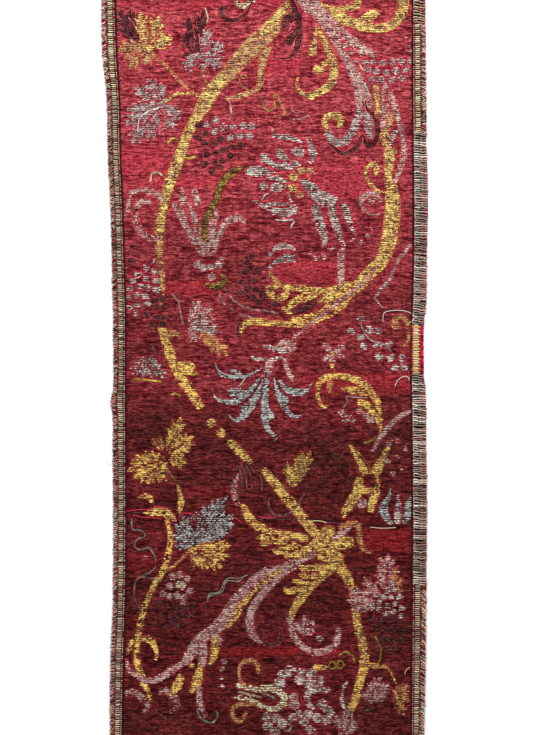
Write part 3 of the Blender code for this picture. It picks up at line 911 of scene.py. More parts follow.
def lily(design):
    """The silver flower that opens to the lower left, on its rose stem."""
    design.band("rose", ((277, 347, 7), (285, 347, 15), (296, 347, 7)))
    design.band("silver", ((262, 346, 2), (270, 348, 5), (280, 351, 6), (288, 352, 5)))
    design.band("silver", ((249.5, 355, 1.5), (254, 359, 4), (264, 360, 4), (276, 359, 4), (284, 357, 3)))
    design.band("rose", ((284, 358, 4), (287, 368, 5), (291, 377, 5), (294, 382, 2)))
    design.band("rose", ((270, 360, 8), (268, 370, 8), (265, 380, 6), (262, 387, 3)))
    for petal in (((279, 379, 2), (286, 388, 6), (295, 392, 8), (304, 391.5, 6), (309, 388, 3),
                   (312, 383, 1)),
                  ((274, 376, 2), (277, 390, 6), (282, 401, 8), (287, 410, 6), (294, 416.5, 4),
                   (303, 416.5, 1)),
                  ((268, 372, 3), (266.5, 384, 6), (265, 398, 8), (265, 412, 9), (266, 424, 7), (270, 432, 5),
                   (279, 437, 1.5)),
                  ((264, 380, 2), (259, 391, 6), (253, 402, 8), (246, 412, 9), (240, 419, 6), (233, 420, 3),
                   (228.5, 415, 1)),
                  ((262, 376, 2), (254, 386, 5), (245, 396, 8), (235, 402, 8), (225, 402, 5), (217, 399, 3),
                   (212.5, 391, 1)),
                  ((263, 368, 2), (251, 374, 3), (240, 377.5, 4), (226, 377, 4), (218, 372, 3),
                   (215.5, 363, 1))):
        design.band("steel", petal)
    for lobe in (((282, 395), (288, 397), (290, 402), (286, 405), (282, 401)),
                 ((269, 410), (274, 412), (274, 418), (270, 420), (267, 415)),
                 ((227, 391), (233, 388.5), (241, 389), (246, 392), (240, 396), (230, 396)),
                 ((240, 407), (245, 404), (249, 405), (247, 411), (241, 412)),
                 ((229, 369), (235, 369), (243, 374), (238, 375), (230, 372.5))):
        design.blob("steel", lobe)
    for points in (((279, 436), (276, 439), (273.6, 441.6)),
                   ((215.5, 363), (218, 370), (227, 375), (240, 375.5)),
                   ((212.5, 391), (216, 398), (225, 401)), ((249, 374), (243, 381), (238, 387)),
                   ((274, 378), (277, 390), (283, 402)), ((229, 415.5), (236, 421.5), (246, 417))):
        design.line((206, 202, 196), 1.3, points, 0.15)


def left_leaves(design):
    """The two leaves left of the vine at the middle."""
    design.leaflets("rose", (190, 326), ((200, 299, 11), (213, 307, 11), (215, 318, 10), (197, 343, 10)))
    design.leaflets("silver", (190, 326), ((222, 332, 13), (207, 311, 7)))
    design.leaflets("ochre", (200, 333), ((229, 356, 14), (215, 348, 9)))
    design.band("ochre", ((162, 334, 5), (172, 334, 8), (181, 333, 4)))
    design.line(ROSY, 2.2, ((169.5, 293.6), (178, 301), (181, 316), (184, 325)))
    design.leaflets("silver", (148, 356), ((132, 375, 11), (142, 379, 11), (152, 380, 11), (164, 379, 11)))
    for end in ((138, 376), (150, 378), (160, 379)):
        design.line((120, 34, 42), 1.4, ((150, 357), end), 0)
    design.line(ROSY, 2.0, ((152.6, 343), (154, 349), (156, 354)))
    design.line(GOLDEN, 1.8, ((133, 379.5), (147, 380), (162, 382)))


def right_middle(design):
    """Small things down the right side between the great scroll and the trunk."""
    design.leaflets("rose", (333, 353), ((322, 342, 6), (346, 344, 7), (345, 358, 6), (332, 367, 6),
                                         (322, 362, 6)), 2)
    design.dots("gold", 2.4, ((333, 354), (332, 365)))
    design.dots("silver", 4.3, ((361.5, 319), (351, 331.5), (360, 337.5), (369, 329), (378, 331),
                                (364, 346), (377, 344.5), (389, 344.5), (379, 357), (391, 357.5),
                                (402, 357.5), (395, 367.5), (404, 367.5)))
    design.line(SILVERY, 1.5, ((361, 324), (368, 338), (384, 344.6), (391, 352)))
    design.dots("ochre", 4.6, ((396, 325),))
    design.band("ochre", ((392, 322, 3), (395, 318, 4), (402, 317, 5), (408, 325, 5), (409, 337, 4),
                          (403, 347, 2)))
    design.band("gold", ((329, 406.5, 1.5), (323, 407, 3), (318.6, 399, 3.5), (318, 390, 4), (320, 382, 6),
                         (327, 377, 7), (338, 376, 7), (350, 377.5, 7), (361, 383, 8), (371, 392, 8),
                         (377, 403, 7), (380, 416, 5), (380.5, 427, 3.5), (379.5, 435, 1.5)))
    design.blob("ochre", ((328, 381), (332, 380), (333, 386), (331, 393), (328.5, 394), (327, 388)))
    design.band("gold", ((341, 389, 3), (350, 389.5, 7), (361, 392, 7), (371, 396, 2)))
    design.gap(((340, 383.5, 1), (352, 384.4, 2), (363, 389.5, 1.4)))
    design.line((216, 170, 160), 1.4, ((346, 396), (357, 397.5), (368, 398)), 0.1)
    design.band("gold", ((357, 402, 5), (366, 405, 8), (374, 413, 7), (378.5, 426, 2)))
    design.gap(((362, 396.5, 1), (370, 400, 2), (376, 409, 1.4)))
    design.dots("rose", 3.6, ((342, 413), (348, 417.5), (360, 411.5), (366, 416), (371, 420)))
    design.dots("silver", 3.2, ((353.4, 420.8), (345, 420.5)))
    design.line(ROSY, 2.0, ((343, 408), (347, 402), (346, 396)), 0.2)


def trunk(design):
    """The forked trunk, the tulip right of it and the steel and gold leaves left of it."""
    design.band("rose", ((412, 411, 4), (405, 414, 5), (394.7, 421, 5), (382, 435.5, 6), (372, 452, 3)))
    design.line(GOLDEN, 2.2, ((363, 444), (369, 442), (376, 438)))
    for limb in (((350, 446, 3), (355, 453, 6), (361, 462, 9), (368, 478, 12), (370, 484, 8)),
                 ((392, 438, 3), (388, 448, 5), (383, 458, 8), (377, 470, 10), (372, 482, 9)),
                 ((362, 478, 10), (359.5, 484, 12), (357, 493, 11), (349, 505, 9), (342, 517, 5)),
                 ((376, 480, 8), (376, 487, 8), (374, 497, 9), (370, 512, 6)),
                 ((358, 490, 5), (367, 490.5, 6), (377, 490, 5))):
        design.band("gold", limb)
    design.gap(((363, 480, 9), (368, 479.5, 13), (373, 480, 12), (375.5, 480, 7)))
    design.band("rose", ((357, 504, 6), (362, 503, 10), (367, 502, 6)))
    design.gap(((358, 455, 1), (365, 463, 1.8), (369, 471, 1.4)))
    design.dots("rose", 3, ((389, 444), (398, 441), (405, 449), (396, 457), (387, 462), (402, 468),
                            (393, 474)), 0.75)
    design.band("steel", ((390, 488, 1.5), (388.6, 497, 5), (383.6, 507, 9), (386, 517, 8), (393, 524, 4)))
    design.band("silver", ((398, 494, 1.5), (398, 505, 6), (398, 515, 9), (398, 524, 5)))
    design.band("steel", ((412, 496, 2), (408, 503, 6), (408, 514, 8), (403, 523, 5)))
    design.leaflets("gold", (168, 453), ((181, 417, 13), (173, 425, 9), (194, 436, 13), (192, 447, 9)))
    design.leaflets("gold", (170, 458), ((187, 463, 13), (178, 467, 7)), 3)
    design.leaflets("gold", (165, 457), ((141, 455, 8), (130, 462, 11), (127, 471, 13), (133, 480, 13),
                                         (146, 484, 12), (159, 483, 12)))
    design.leaflets("ochre", (163, 452), ((152, 437, 7), (160, 436, 6)), 3)
    for points in (((167, 456, 1.6), (171, 444, 1.8), (177, 431, 1.2)), ((166, 458, 1.6), (152, 463, 1.8),
                                                                         (138, 467, 1.2)),
                   ((166, 460, 1.6), (156, 469, 1.8), (147, 476, 1.2)), ((171, 452, 1.2), (180, 447, 1.8),
                                                                         (187, 441, 1))):
        design.gap(points)
    design.line(TAN, 2.2, ((166, 467), (173.7, 477.6), (180, 489.6)))
    design.band("gold", ((178, 486, 3), (180.5, 495, 5), (181, 503, 7), (180, 513, 3)))
    design.leaflets("gold", (292, 487), ((311, 451, 12), (300, 452, 8), (287, 462, 9), (303, 470, 9)))
    design.dots("gold", 5.4, ((291.5, 479),))
    for number, start in enumerate(range(236, 262, 5)):
        top = 462 + 1.2 * number
        design.line(ROSY, 1.5, ((start, top), (start + 5, top + 12), (start + 6, top + 26)), 0.35)
    design.band("rose", ((238, 474, 3), (235, 483, 5), (234, 494, 6), (239, 506, 5)), 0.4)
    design.band("gold", ((242, 504, 4), (245, 510, 7), (250, 519, 9), (259, 527, 8), (268, 531, 4)))
    design.line(ROSY, 2.2, ((269, 497), (269, 507), (275, 515), (286, 515), (296, 507), (305, 493)))
    design.leaflets("steel", (196, 542), ((175, 546, 9), (173, 535, 10), (174, 524, 10), (182, 515, 10),
                                          (194, 513, 9)))
    design.leaflets("steel", (195, 543), ((205, 508, 14), (213, 501, 14), (222, 496, 12), (229, 494, 9),
                                          (235, 513, 15), (232, 526, 12), (226, 535, 9)))
    design.gap(((193, 519, 3), (193.5, 525, 5), (195, 531, 2)))
    for points in (((193, 546), (203, 531), (216, 521), (230, 512)), ((193, 546), (185, 533), (178, 525)),
                   ((205, 529), (207, 517), (208, 508)), ((216, 521), (221, 509), (225, 500))):
        design.line((66, 20, 28), 1.7, points, 0)
    design.band("ochre", ((193, 547, 3), (184, 556, 3), (172, 567, 3), (162, 574, 2)), 0.2)
    design.leaflets("gold", (191, 549), ((232, 545, 11), (231, 556, 11), (223, 568, 12), (209, 569, 10),
                                         (200, 568, 9)))
    for points in (((196, 550, 1.6), (208, 552, 1.8), (220, 551, 1)), ((197, 552, 1.6), (207, 558, 1.8),
                                                                       (214, 563, 1))):
        design.gap(points)
    design.band("gold", ((143, 514, 1), (152, 512, 6), (163, 512, 9), (172, 517, 7), (175, 521, 3)))
    design.band("gold", ((138, 499, 2), (144, 496, 4), (150, 497, 6), (152, 502, 4)))


def lower_left(design):
    """The thin gold vine at the lower left with its tendrils and little flower."""
    design.band("gold", ((167, 518, 4), (170.7, 539, 6), (167.5, 558, 6), (162, 573, 6), (155, 583, 6),
                         (146, 604, 6), (140, 625.6, 6), (137, 649, 6), (138, 665.6, 7), (144, 682.5, 7),
                         (152, 702, 3)), 0.35)
    design.band("gold", ((127.4, 655, 3), (131.6, 642.4, 5), (142, 638, 6), (152.7, 642.4, 6),
                         (157, 653, 4), (156, 660, 2)))
    design.line(SILVERY, 1.6, ((131.6, 518), (132.7, 528.5), (142, 530.6), (145, 537), (138, 539),
                               (134.8, 545.4), (140, 549.6), (148.5, 547.5), (155, 556), (156, 566.5),
                               (148.5, 573), (142, 575)))
    design.dots("silver", 2.6, ((145, 557),))
    design.line(ROSY, 2.0, ((167.5, 581), (152.7, 578), (140, 577), (134.8, 585.5), (134.8, 598),
                            (140, 608.7), (143, 608.7)))
    design.dots("rose", 3.8, ((172.8, 577), (180, 575), (187, 578), (170, 585.5), (163, 594),
                              (170, 597), (177, 596), (184, 597), (190, 591), (183.3, 602)))
    design.dots("cream", 5.2, ((181, 584.6),))
    design.line(RED, 1.8, ((175, 584), (178, 589.6), (184, 589.6), (187, 584)), 0)
    for shift in (0, 2.6):
        design.line(SILVERY, 1.4, ((245.6 + shift, 575), (239, 581 - shift), (226.6, 581 - shift),
                                   (222.4 - shift, 592), (209.7, 596 - shift), (207.6, 602)))
    design.band("rose", ((125, 694, 4), (132, 692, 6), (141, 697, 7), (148, 706, 5), (143, 713, 3)), 0.5)
    design.band("rose", ((159, 693, 4), (166, 691, 7), (174, 697, 8), (177, 706, 6), (170, 712, 3)), 0.5)
    design.line(PINK, 1.5, ((155, 710), (170, 722), (184, 737)), 0.4)


def rose_acanthus(design):
    """The large leaf that sweeps down to the left, its gold midrib and the scroll at its foot."""
    design.band("dark", ((262, 628, 3), (262, 640, 3), (270, 645, 4), (279, 642, 4), (281, 632, 3),
                         (277, 626, 2)))
    design.band("rose", ((316, 552, 4), (311, 555, 7), (298, 561, 9), (284, 569, 12), (268, 574, 14),
                         (252, 586, 15), (239, 600, 15), (228, 615, 14), (216, 628, 13), (202, 638, 13),
                         (193, 650, 12), (185, 664, 8)))
    design.band("rose", ((281, 576, 6), (268.7, 586, 8), (258, 600, 8), (251, 612, 8), (250, 626, 9),
                         (255, 637, 6), (262, 643, 3)))
    design.line((128, 50, 58), 1.8, ((275, 578), (256, 592), (245, 612), (240, 626)), 0.1)
    design.line((128, 50, 58), 1.8, ((286, 563), (262, 569), (244, 583), (230, 602)), 0.1)
    design.band("gold", ((281, 570, 3), (262, 584, 4), (246, 600, 6), (235, 616, 7), (227, 628, 4)))
    design.band("rose", ((210, 628, 8), (216, 636, 9), (222, 643, 6)))
    design.band("gold", ((214, 637, 5), (215, 648, 9), (213, 659, 6), (209, 664, 2)))
    design.band("rose", ((203, 640, 8), (203, 655, 9), (201, 668, 7)))
    design.band("gold", ((201, 665, 6), (199, 674, 9), (196, 684, 9), (190, 692, 4)))
    design.band("gold", ((182, 674, 5), (179, 681, 9), (175, 689, 9), (169, 695, 4)))
    design.dots("gold", 2.8, ((192, 666),))
    design.band("rose", ((200, 686, 5), (200, 703, 6), (206, 716, 3)), 0.4)
    design.line(SILVERY, 2.2, ((197, 708), (201, 718.4), (212, 722.6), (218, 716), (216, 710)))
    design.band("rose", ((185, 662, 6), (172, 670, 7), (159, 678, 7), (148.5, 680.4, 6), (138, 676, 5),
                         (129.5, 670, 4), (126.4, 659, 2.5)))


def gold_cluster(design):
    """The gold leaves where the two stems cross, and the hanging leaf with its rose curl."""
    design.band("gold", ((250, 521, 3), (262, 527, 6), (276, 532, 6), (292, 535, 7), (309, 540, 9)))
    for leaf in (((268, 531, 5), (261, 526, 7), (251, 524, 4)), ((272, 534, 4), (264, 538, 7), (256, 538, 4)),
                 ((275, 538, 4), (267, 543, 6), (260, 545, 3)), ((290, 537, 5), (282, 541, 8), (273, 541, 4)),
                 ((296, 541, 5), (286, 548, 8), (277, 551, 6), (273, 548, 3)),
                 ((301, 545, 5), (292, 553, 8), (284, 557, 4)),
                 ((311, 545, 6), (305, 552, 9), (298, 556, 7), (294, 552, 3))):
        design.band("gold", leaf)
    for slit in (((270, 536, 1.8), (261, 533, 1.6)), ((277, 541, 1.8), (269, 540, 1.6)),
                 ((291, 543, 1.8), (281, 546, 1.8)), ((297, 549, 1.8), (288, 552, 1.6)),
                 ((311, 541, 1.8), (302, 545, 1.8), (297, 549, 1.6))):
        design.gap(slit)
    design.band("gold", ((312, 540, 10), (321, 548, 10), (332, 556, 10), (340, 565, 9)))
    design.blob("gold", ((321, 529), (328, 525), (334, 527), (335, 533), (329, 538), (322, 536)))
    design.band("gold", ((328, 545, 6), (338, 545, 11), (348, 542, 13), (354, 540, 6)))
    design.band("gold", ((316, 556, 4), (326, 556.5, 12), (337, 558, 13), (344, 559, 6)))
    design.band("rose", ((331, 539, 2), (339, 535, 7), (346, 530, 6), (352, 525, 2)), 0.1)
    for points in (((325, 549), (335, 552.5), (344, 551.5)), ((316, 557), (325, 562), (337, 563)),
                   ((322, 538), (328, 540), (333, 541))):
        design.line((74, 22, 28), 1.7, points, 0)
    design.band("gold", ((343, 560, 5), (332, 568, 9), (318, 579, 9), (306, 591, 9), (296, 605, 8),
                         (289.5, 620, 6)))
    for leaf in (((330, 567, 6), (316, 568, 8), (304, 569, 6), (299, 566, 3)),
                 ((322, 575, 5), (309, 575.5, 6), (299, 575, 3)),
                 ((316, 582, 6), (303, 582, 7), (292, 580, 4)),
                 ((308, 588, 5), (297, 589, 7), (287, 591, 6), (284, 587, 3))):
        design.band("gold", leaf)
    for slit in (((318, 572.4, 1.8), (305, 572, 1.8)), ((314, 579, 1.8), (302, 578.6, 1.8)),
                 ((308, 585.6, 1.8), (296, 585, 1.8))):
        design.gap(slit)
    design.band("rose", ((289, 617, 5), (292, 632, 6), (300.6, 644.6, 7), (313, 652, 7), (326, 651, 7),
                         (336.5, 642.4, 7), (338.6, 627, 5)))
    design.leaflets("rose", (306, 635), ((294, 621, 9), (304, 614, 9), (314, 620, 9), (315, 631, 7)), 2)
    design.dots("silver", 3.8, ((319.6, 638),))
    design.band("ochre", ((338, 528, 3), (350, 524, 5), (358, 526, 6), (360, 540, 6), (363, 549, 4),
                          (372, 554, 1.5)), 0.35)


def lower_right(design):
    """The rose leaf with its silver grapes, the tendrils and the leaf below them."""
    design.leaflets("rose", (386, 592), ((388, 554, 17), (378, 566, 9), (397, 567, 8)), 5)
    design.leaflets("rose", (382, 600), ((363, 576, 9), (348, 590, 10), (345, 601, 8), (349, 611, 8),
                                         (360, 613, 7)))
    design.leaflets("ochre", (394, 592), ((396, 566, 6), (403, 577, 7), (404, 590, 6)), 2)
    design.gap(((386, 590, 1.6), (387, 575, 1.8), (388, 564, 1)))
    design.gap(((378, 599, 1.6), (366, 596, 1.8), (356, 594, 1)))
    design.dots("silver", 3.4, ((391.4, 584), (394.8, 590), (387.5, 591), (383.7, 597), (391, 597),
                                (399.5, 597), (378.5, 602), (372, 605.5), (394.8, 603.7), (387.6, 605.5),
                                (379.4, 609), (401.7, 608), (393.6, 611.5), (386, 613), (400.8, 615.7)))
    design.blob("gold", ((312, 667), (316, 664), (324, 664), (328, 667), (322, 670), (315, 670)))
    for x, y in ((332, 665), (340, 664.6)):
        design.line(GOLDEN, 1.7, ((x - 4, y), (x, y - 4), (x + 4, y), (x, y + 4), (x - 4, y + 0.4)))
    design.line(GOLDEN, 2.0, ((338.6, 656), (344.9, 652), (352.3, 655), (354.5, 663.6)))
    design.band("gold", ((364, 663, 3), (374.5, 665, 5), (385, 666, 3.5), (391, 672, 2), (396, 684, 1.5)))
    design.line(GOLDEN, 1.8, ((378.7, 663.6), (380.8, 648.8), (374.5, 636)))
    design.line(GOLDEN, 1.8, ((380.8, 650), (384, 646), (388, 646)))
    design.leaflets("rose", (368, 702), ((381, 676, 10), (390, 683, 9), (388, 692, 9), (372, 681, 8),
                                         (366, 692, 8)))
    design.line(ROSY, 2.0, ((389, 691), (378, 706), (363, 711)))
    design.leaflets("ochre", (394, 690), ((411, 688, 9), (410, 702, 9), (404, 715, 9)), wear=0.5)
    design.leaflets("rose", (345, 737), ((335, 715, 8), (345, 709, 8), (357, 720, 8)))
    design.band("silver", ((347, 681, 3), (342.6, 691, 3.5), (342.6, 703.7, 4), (349, 714, 4),
                           (358, 728, 3)), 0.3)


def bottom_flower(design):
    design.dots("silver", 5.8, ((283, 675), (290, 671), (280, 683), (303, 673), (311, 674), (319, 680),
                                (310, 684), (300, 680)), 0.2)
    design.band("silver", ((331, 689, 4), (326, 690, 7), (316, 689, 8), (308, 695, 7), (308, 703, 6),
                           (316, 709, 4)))
    design.dots("silver", 5.6, ((322, 704), (329, 711), (326, 719)), 0.2)
    design.dots("silver", 5, ((300, 715), (308, 714), (317, 718), (304, 722), (310, 730), (293, 718)), 0.2)
    design.dots("silver", 5.4, ((268, 717), (276, 718), (268, 726), (275, 732), (282, 723)), 0.2)
    design.line(SILVERY, 2.4, ((284, 729), (289, 730), (291, 725), (287, 723)))
    design.dots("rose", 5.2, ((294, 697), (294, 704)))
    design.line(RED, 1.5, ((288, 692), (294, 690), (300, 694), (301, 702), (297, 709)), 0)
    design.band("cream", ((236, 685, 4), (244, 687, 5), (256, 689, 6), (268.8, 688, 6), (279, 691, 7),
                          (285, 699, 7), (280, 706, 7), (268.8, 709, 6), (256, 702, 5), (245, 698, 5),
                          (233, 697, 3)))
    for points in (((238, 692), (248, 694), (262, 697)), ((262, 692), (270, 695), (276, 699))):
        design.line(CREAMY, 2.4, points)
    design.band("ochre", ((248, 687, 3), (240, 679, 3), (240, 666, 4), (247.6, 660.4, 5), (257, 664, 5),
                          (258, 673, 3)))
    design.band("ochre", ((256, 703.7, 3), (241.4, 703.7, 4), (233, 708, 4), (233, 716, 4), (240, 720, 5),
                          (247, 713, 3)))
    design.dots("silver", 2.9, ((224, 661), (221.5, 668.4), (220.5, 677), (222, 686)))


MOTIFS = (faint_grapes, branch, main_vine, upper_leaves, upper_grapes, top_scrolls, right_grapes,
          gold_scrolls, right_bands, central_flower, left_tulip, left_leaves, lily, right_middle,
          trunk, lower_left, rose_acanthus, gold_cluster, lower_right, bottom_flower)

# What a row of weft passes over, read every half pixel across the cloth
Course = namedtuple("Course", "x y seat dents worn shade soil")


def course_of(row):
    x = np.arange(100, 430, 0.5)
    y = row_middle(row) + weft_wander(x, row_middle(row))
    metres_x, metres_y = to_x(x), to_y(y)
    seat = cloth_lift(metres_x, metres_y) + cloth_thickness(metres_y)
    seat = seat + 0.45 * crinkle_height(x, y) + WEFT_RISE
    worn = 0.5 + 0.38 * noise(x / 6, row * 0.62, 41) + 0.22 * noise(x / 2.1, row * 0.9, 43)
    shade = 0.55 * noise(x / 6, row * 0.8, 42) + 0.6 * noise(x / 2.2, row * 0.97, 44)
    return Course(x, y, seat, crinkle(x, y), worn, shade, staining(x, y))


def blended(colours, level):
    """Colours from the last, at level 0, through the middle one to the first, at level 1."""
    bright, mid, dull = (np.array(colour, float) for colour in colours)
    level = np.clip(level, 0, 1)[:, None]
    return np.where(level < 0.5, dull + (mid - dull) * 2 * level, mid + (bright - mid) * (2 * level - 1))


def aged(colour, thread, y):
    """The thread's colour: gold turns a deeper yellow lower down the panel."""
    if thread.bank != "gold_wefts":
        return colour
    share = np.clip((y - 170) / 160, 0, 1)[:, None]
    return colour * (1 + share * np.array((0.05, -0.02, -0.12)))


def jumbled(thread, y):
    """How much a thread's bits tilt: lower down the panel they lie nearly along the rows."""
    return thread.jumble * (1 - 0.6 * np.clip((y - 190) / 120, 0, 1))


def runs(kept):
    """The first and last of each kept stretch of more than one point."""
    breaks = np.flatnonzero(np.diff(kept.astype(int))) + 1
    for start, end in zip(np.r_[0, breaks], np.r_[breaks, len(kept)]):
        if kept[start] and end - start > 1:
            yield start, end


def lay_weft(bank, thread, course, left, right):
    """Lays one thread of a shape between two places in a row, but for where it's worn through."""
    places = np.linspace(left, right, max(2, int((right - left) / WEFT_STEP) + 2))
    read = [np.interp(places, course.x, values) for values in course[1:]]
    y, seat, dents, worn, shade, soil = read
    kept = worn > 0.04 + 0.62 * thread.wear
    colour = blended(thread.colours, 0.5 + 0.9 * shade)
    # Painted shade: each weft is darkened where it crosses a crinkle valley, less so for the jumbled kinds
    depth = 0.40 * (1.2 - thread.jumble)
    colour = colour * (1.02 - depth + depth * np.clip(1.25 * dents, 0, 1))[:, None]
    colour = aged(colour, thread, y)
    colour = np.clip(colour * (1 - 0.32 * soil)[:, None], 0, 250)
    y = y + 0.65 * jumbled(thread, y) * noise(places / 2.3, y * 0.9, 46)
    for start, end in runs(kept):
        path = np.stack([places[start:end], y[start:end]], axis=1)
        width = WEFT_WIDTH * thread.width * (1 + 0.18 * shade[start:end])
        bank.lay(path, width, WEFT_THICKNESS, colour[start:end], seat[start:end], 0.55)


def lay_flecks(bank, thread, course, left, right, row):
    """Lays short bits of weft, each painted with a highlight or with shade."""
    spots = np.arange(left + 0.4, right - 0.2, FLECK_STEP)
    if len(spots) == 0:
        return
    chance, turn, reach, level = (
        hashed((spots * 4).astype(int), np.full(len(spots), row), 47 + part) for part in range(4))
    chance = 0.5 + 0.5 * chance
    lit = chance < thread.glints
    chosen = lit | (chance > 1 - thread.pits)
    if not chosen.any():
        return
    spots, turn, reach, level, lit = (part[chosen] for part in (spots, turn, reach, level, lit))
    x = np.clip(spots + 0.6 * level, left + 0.3, right - 0.3)
    half = np.minimum(0.95 + 0.35 * reach, np.maximum(np.minimum(x - left, right - x), 0.4))
    y = np.interp(x, course.x, course.y) + 0.55 * reach
    soil, dents = np.interp(x, course.x, course.soil), np.interp(x, course.x, course.dents)
    # Painted highlight on the bright flecks, painted shade from the silk's colour on the dark ones
    bright = np.array(thread.colours[0], float)
    light = bright * (1.04 + 0.16 * level)[:, None] + 8
    shaded = np.array(thread.under, float) * (0.68 + 0.18 * level)[:, None]
    colour = aged(np.where(lit[:, None], light, shaded), thread, y)
    # All flecks are painted darker in the crinkle valleys: painted shade
    colour = np.clip(colour * ((1 - 0.26 * soil) * (0.80 + 0.22 * dents))[:, None], 0, 252)
    seat = np.interp(x, course.x, course.seat) + FLECK_RISE
    jumble = jumbled(thread, y)
    lean = (0.10 + 0.85 * jumble) * turn
    reaches = (2.1 - 0.85 * jumble) * half
    bank.lay_flecks(x, y, reaches, lean, 1.35 + 0.25 * level, FLECK_THICKNESS, colour, seat)


def weave(design, banks):
    """Lays each row's wefts wherever a shape covers it."""
    for row in range(ROWS):
        cover = design.cover[row]
        if not cover.any():
            continue
        course = course_of(row)
        edges = np.flatnonzero(np.diff(cover)) + 1
        first = to_px(inner_x(-1, to_y(row_middle(row)))) - 1
        last = to_px(inner_x(1, to_y(row_middle(row)))) + 1
        for start, end in zip(np.r_[0, edges], np.r_[edges, len(cover)]):
            number = int(cover[start])
            if number == 0 or end - start < 0.8 * CELLS_PER_PIXEL:
                continue
            kind, wear = design.shapes[number]
            thread = THREADS[kind]._replace(wear=wear)
            jitter = 0.6 * hashed(np.array([start, end]), np.array([row, row]), 45)
            left = max(start / CELLS_PER_PIXEL + jitter[0], first)
            right = min(end / CELLS_PER_PIXEL + jitter[1], last)
            if right - left > 0.6:
                lay_weft(banks[thread.bank], thread, course, left, right)
                lay_flecks(banks[thread.bank], thread, course, left, right, row)


def to_px(x):
    return float(x) / PIXEL + MIDDLE_X


def inside_cloth(path):
    y = to_y(path[:, 1])
    x = to_x(path[:, 0])
    left, right = inner_x(-1, y) - EDGE_TUCK, inner_x(1, y) + EDGE_TUCK
    return (x > left) & (x < right) & (np.abs(y) < HALF_LENGTH * PIXEL - END_TUCK)


def outline_threads(design, bank):
    """Lays the fine silk threads round the shapes, and the pattern's own fine lines."""
    for number, line in enumerate(design.lines):
        path = line.path.copy()
        far = np.r_[0, np.cumsum(np.hypot(*np.diff(path, axis=0).T))]
        step = LINE_STEP if line.shape is None else OUTLINE_STEP
        places = np.linspace(0, far[-1], max(2, int(far[-1] / step) + 1))
        path = np.stack([np.interp(places, far, path[:, 0]), np.interp(places, far, path[:, 1])], axis=1)
        kept = inside_cloth(path)
        worn = 0.5 + 0.5 * noise(path[:, 0] / 4 + number, path[:, 1] / 4, 51)
        kept &= worn > 0.75 * line.wear
        if line.shape is not None:
            kept &= borders(design, path, line.shape)
        path[:, 1] += weft_wander(path[:, 0], path[:, 1])
        path[:, 0] += 0.3 * noise(path[:, 0] / 3, path[:, 1] / 1.7, 52)
        seat = surface(path[:, 0], path[:, 1]) * 0.4 + 0.6 * ridge_top(path) + LINE_RISE
        shade = 1 + 0.30 * noise(path[:, 0] / 2.2 + number, path[:, 1] / 2.2, 53)
        brightness = fading(path[:, 1])
        shade *= (1 - 0.35 * staining(path[:, 0], path[:, 1])) * (0.66 + 0.36 * brightness)
        colour = np.clip(np.array(line.colour, float) * shade[:, None], 0, 250)
        for start, end in runs(kept):
            if line.shape is not None or line.width < 1.5:
                bank.lay(path[start:end], 0.8 * line.width, LINE_THICKNESS, colour[start:end],
                         seat[start:end])
                continue
            across = normals_of(path[start:end])
            for aside in (-0.24, 0.24):
                strand = path[start:end] + aside * line.width * across
                tone = 0.92 + 0.42 * noise(strand[:, 0] / 1.1 + 9 * aside, strand[:, 1] / 1.1, 54)
                tones = np.clip(colour[start:end] * tone[:, None], 0, 250)
                bank.lay(strand, 0.42 * line.width, LINE_THICKNESS, tones, seat[start:end])


def ridge_top(path):
    x, y = to_x(path[:, 0]), to_y(path[:, 1])
    return cloth_lift(x, y) + cloth_thickness(y)


def borders(design, path, number):
    """Whether each point still has its own shape beside it, not one laid over it later."""
    across = normals_of(path) * 1.1
    near = np.zeros(len(path), bool)
    for sign in (-1, 1):
        spot = path + sign * across
        near |= design.cover[design.cell_at(spot[:, 0], spot[:, 1])] == number
    return near


def near_pattern(design, px, py):
    """How much of the silk close to a place is under the pattern, from 0 to 1."""
    covered = (design.cover > 0).astype(float)
    total = np.zeros_like(covered)
    shifts = [(rows, cells) for rows in (-1, 0, 1) for cells in (-12, -8, -4, 0, 4, 8, 12)]
    for shift in shifts:
        total += np.roll(covered, shift, axis=(0, 1))
    place = design.cell_at(px, py)
    return total[place] / len(shifts), design.cover[place]


# The silk's colours where it's most faded and where it's fresh, and what tints it
Shades = namedtuple("Shades", "faded fresh")
# The next two are painted light: the crinkles' ridges as if lit, and their valleys as if in shade
LIT_RIDGE = Shades((88, 24, 24), (166, 62, 69))
SHADED_VALLEY = Shades((30, 6, 8), (88, 14, 26))
SMOOTH = Shades((134, 26, 30), (184, 56, 69))
HAIR = Shades((120, 34, 38), (216, 100, 100))
FRESH_TINT = (12, -4, 2)
STAIN_TINT = (20, 13, 9)


def shade_at(shades, brightness):
    faded_colour = np.array(shades.faded, float)
    return faded_colour + brightness * (np.array(shades.fresh, float) - faded_colour)


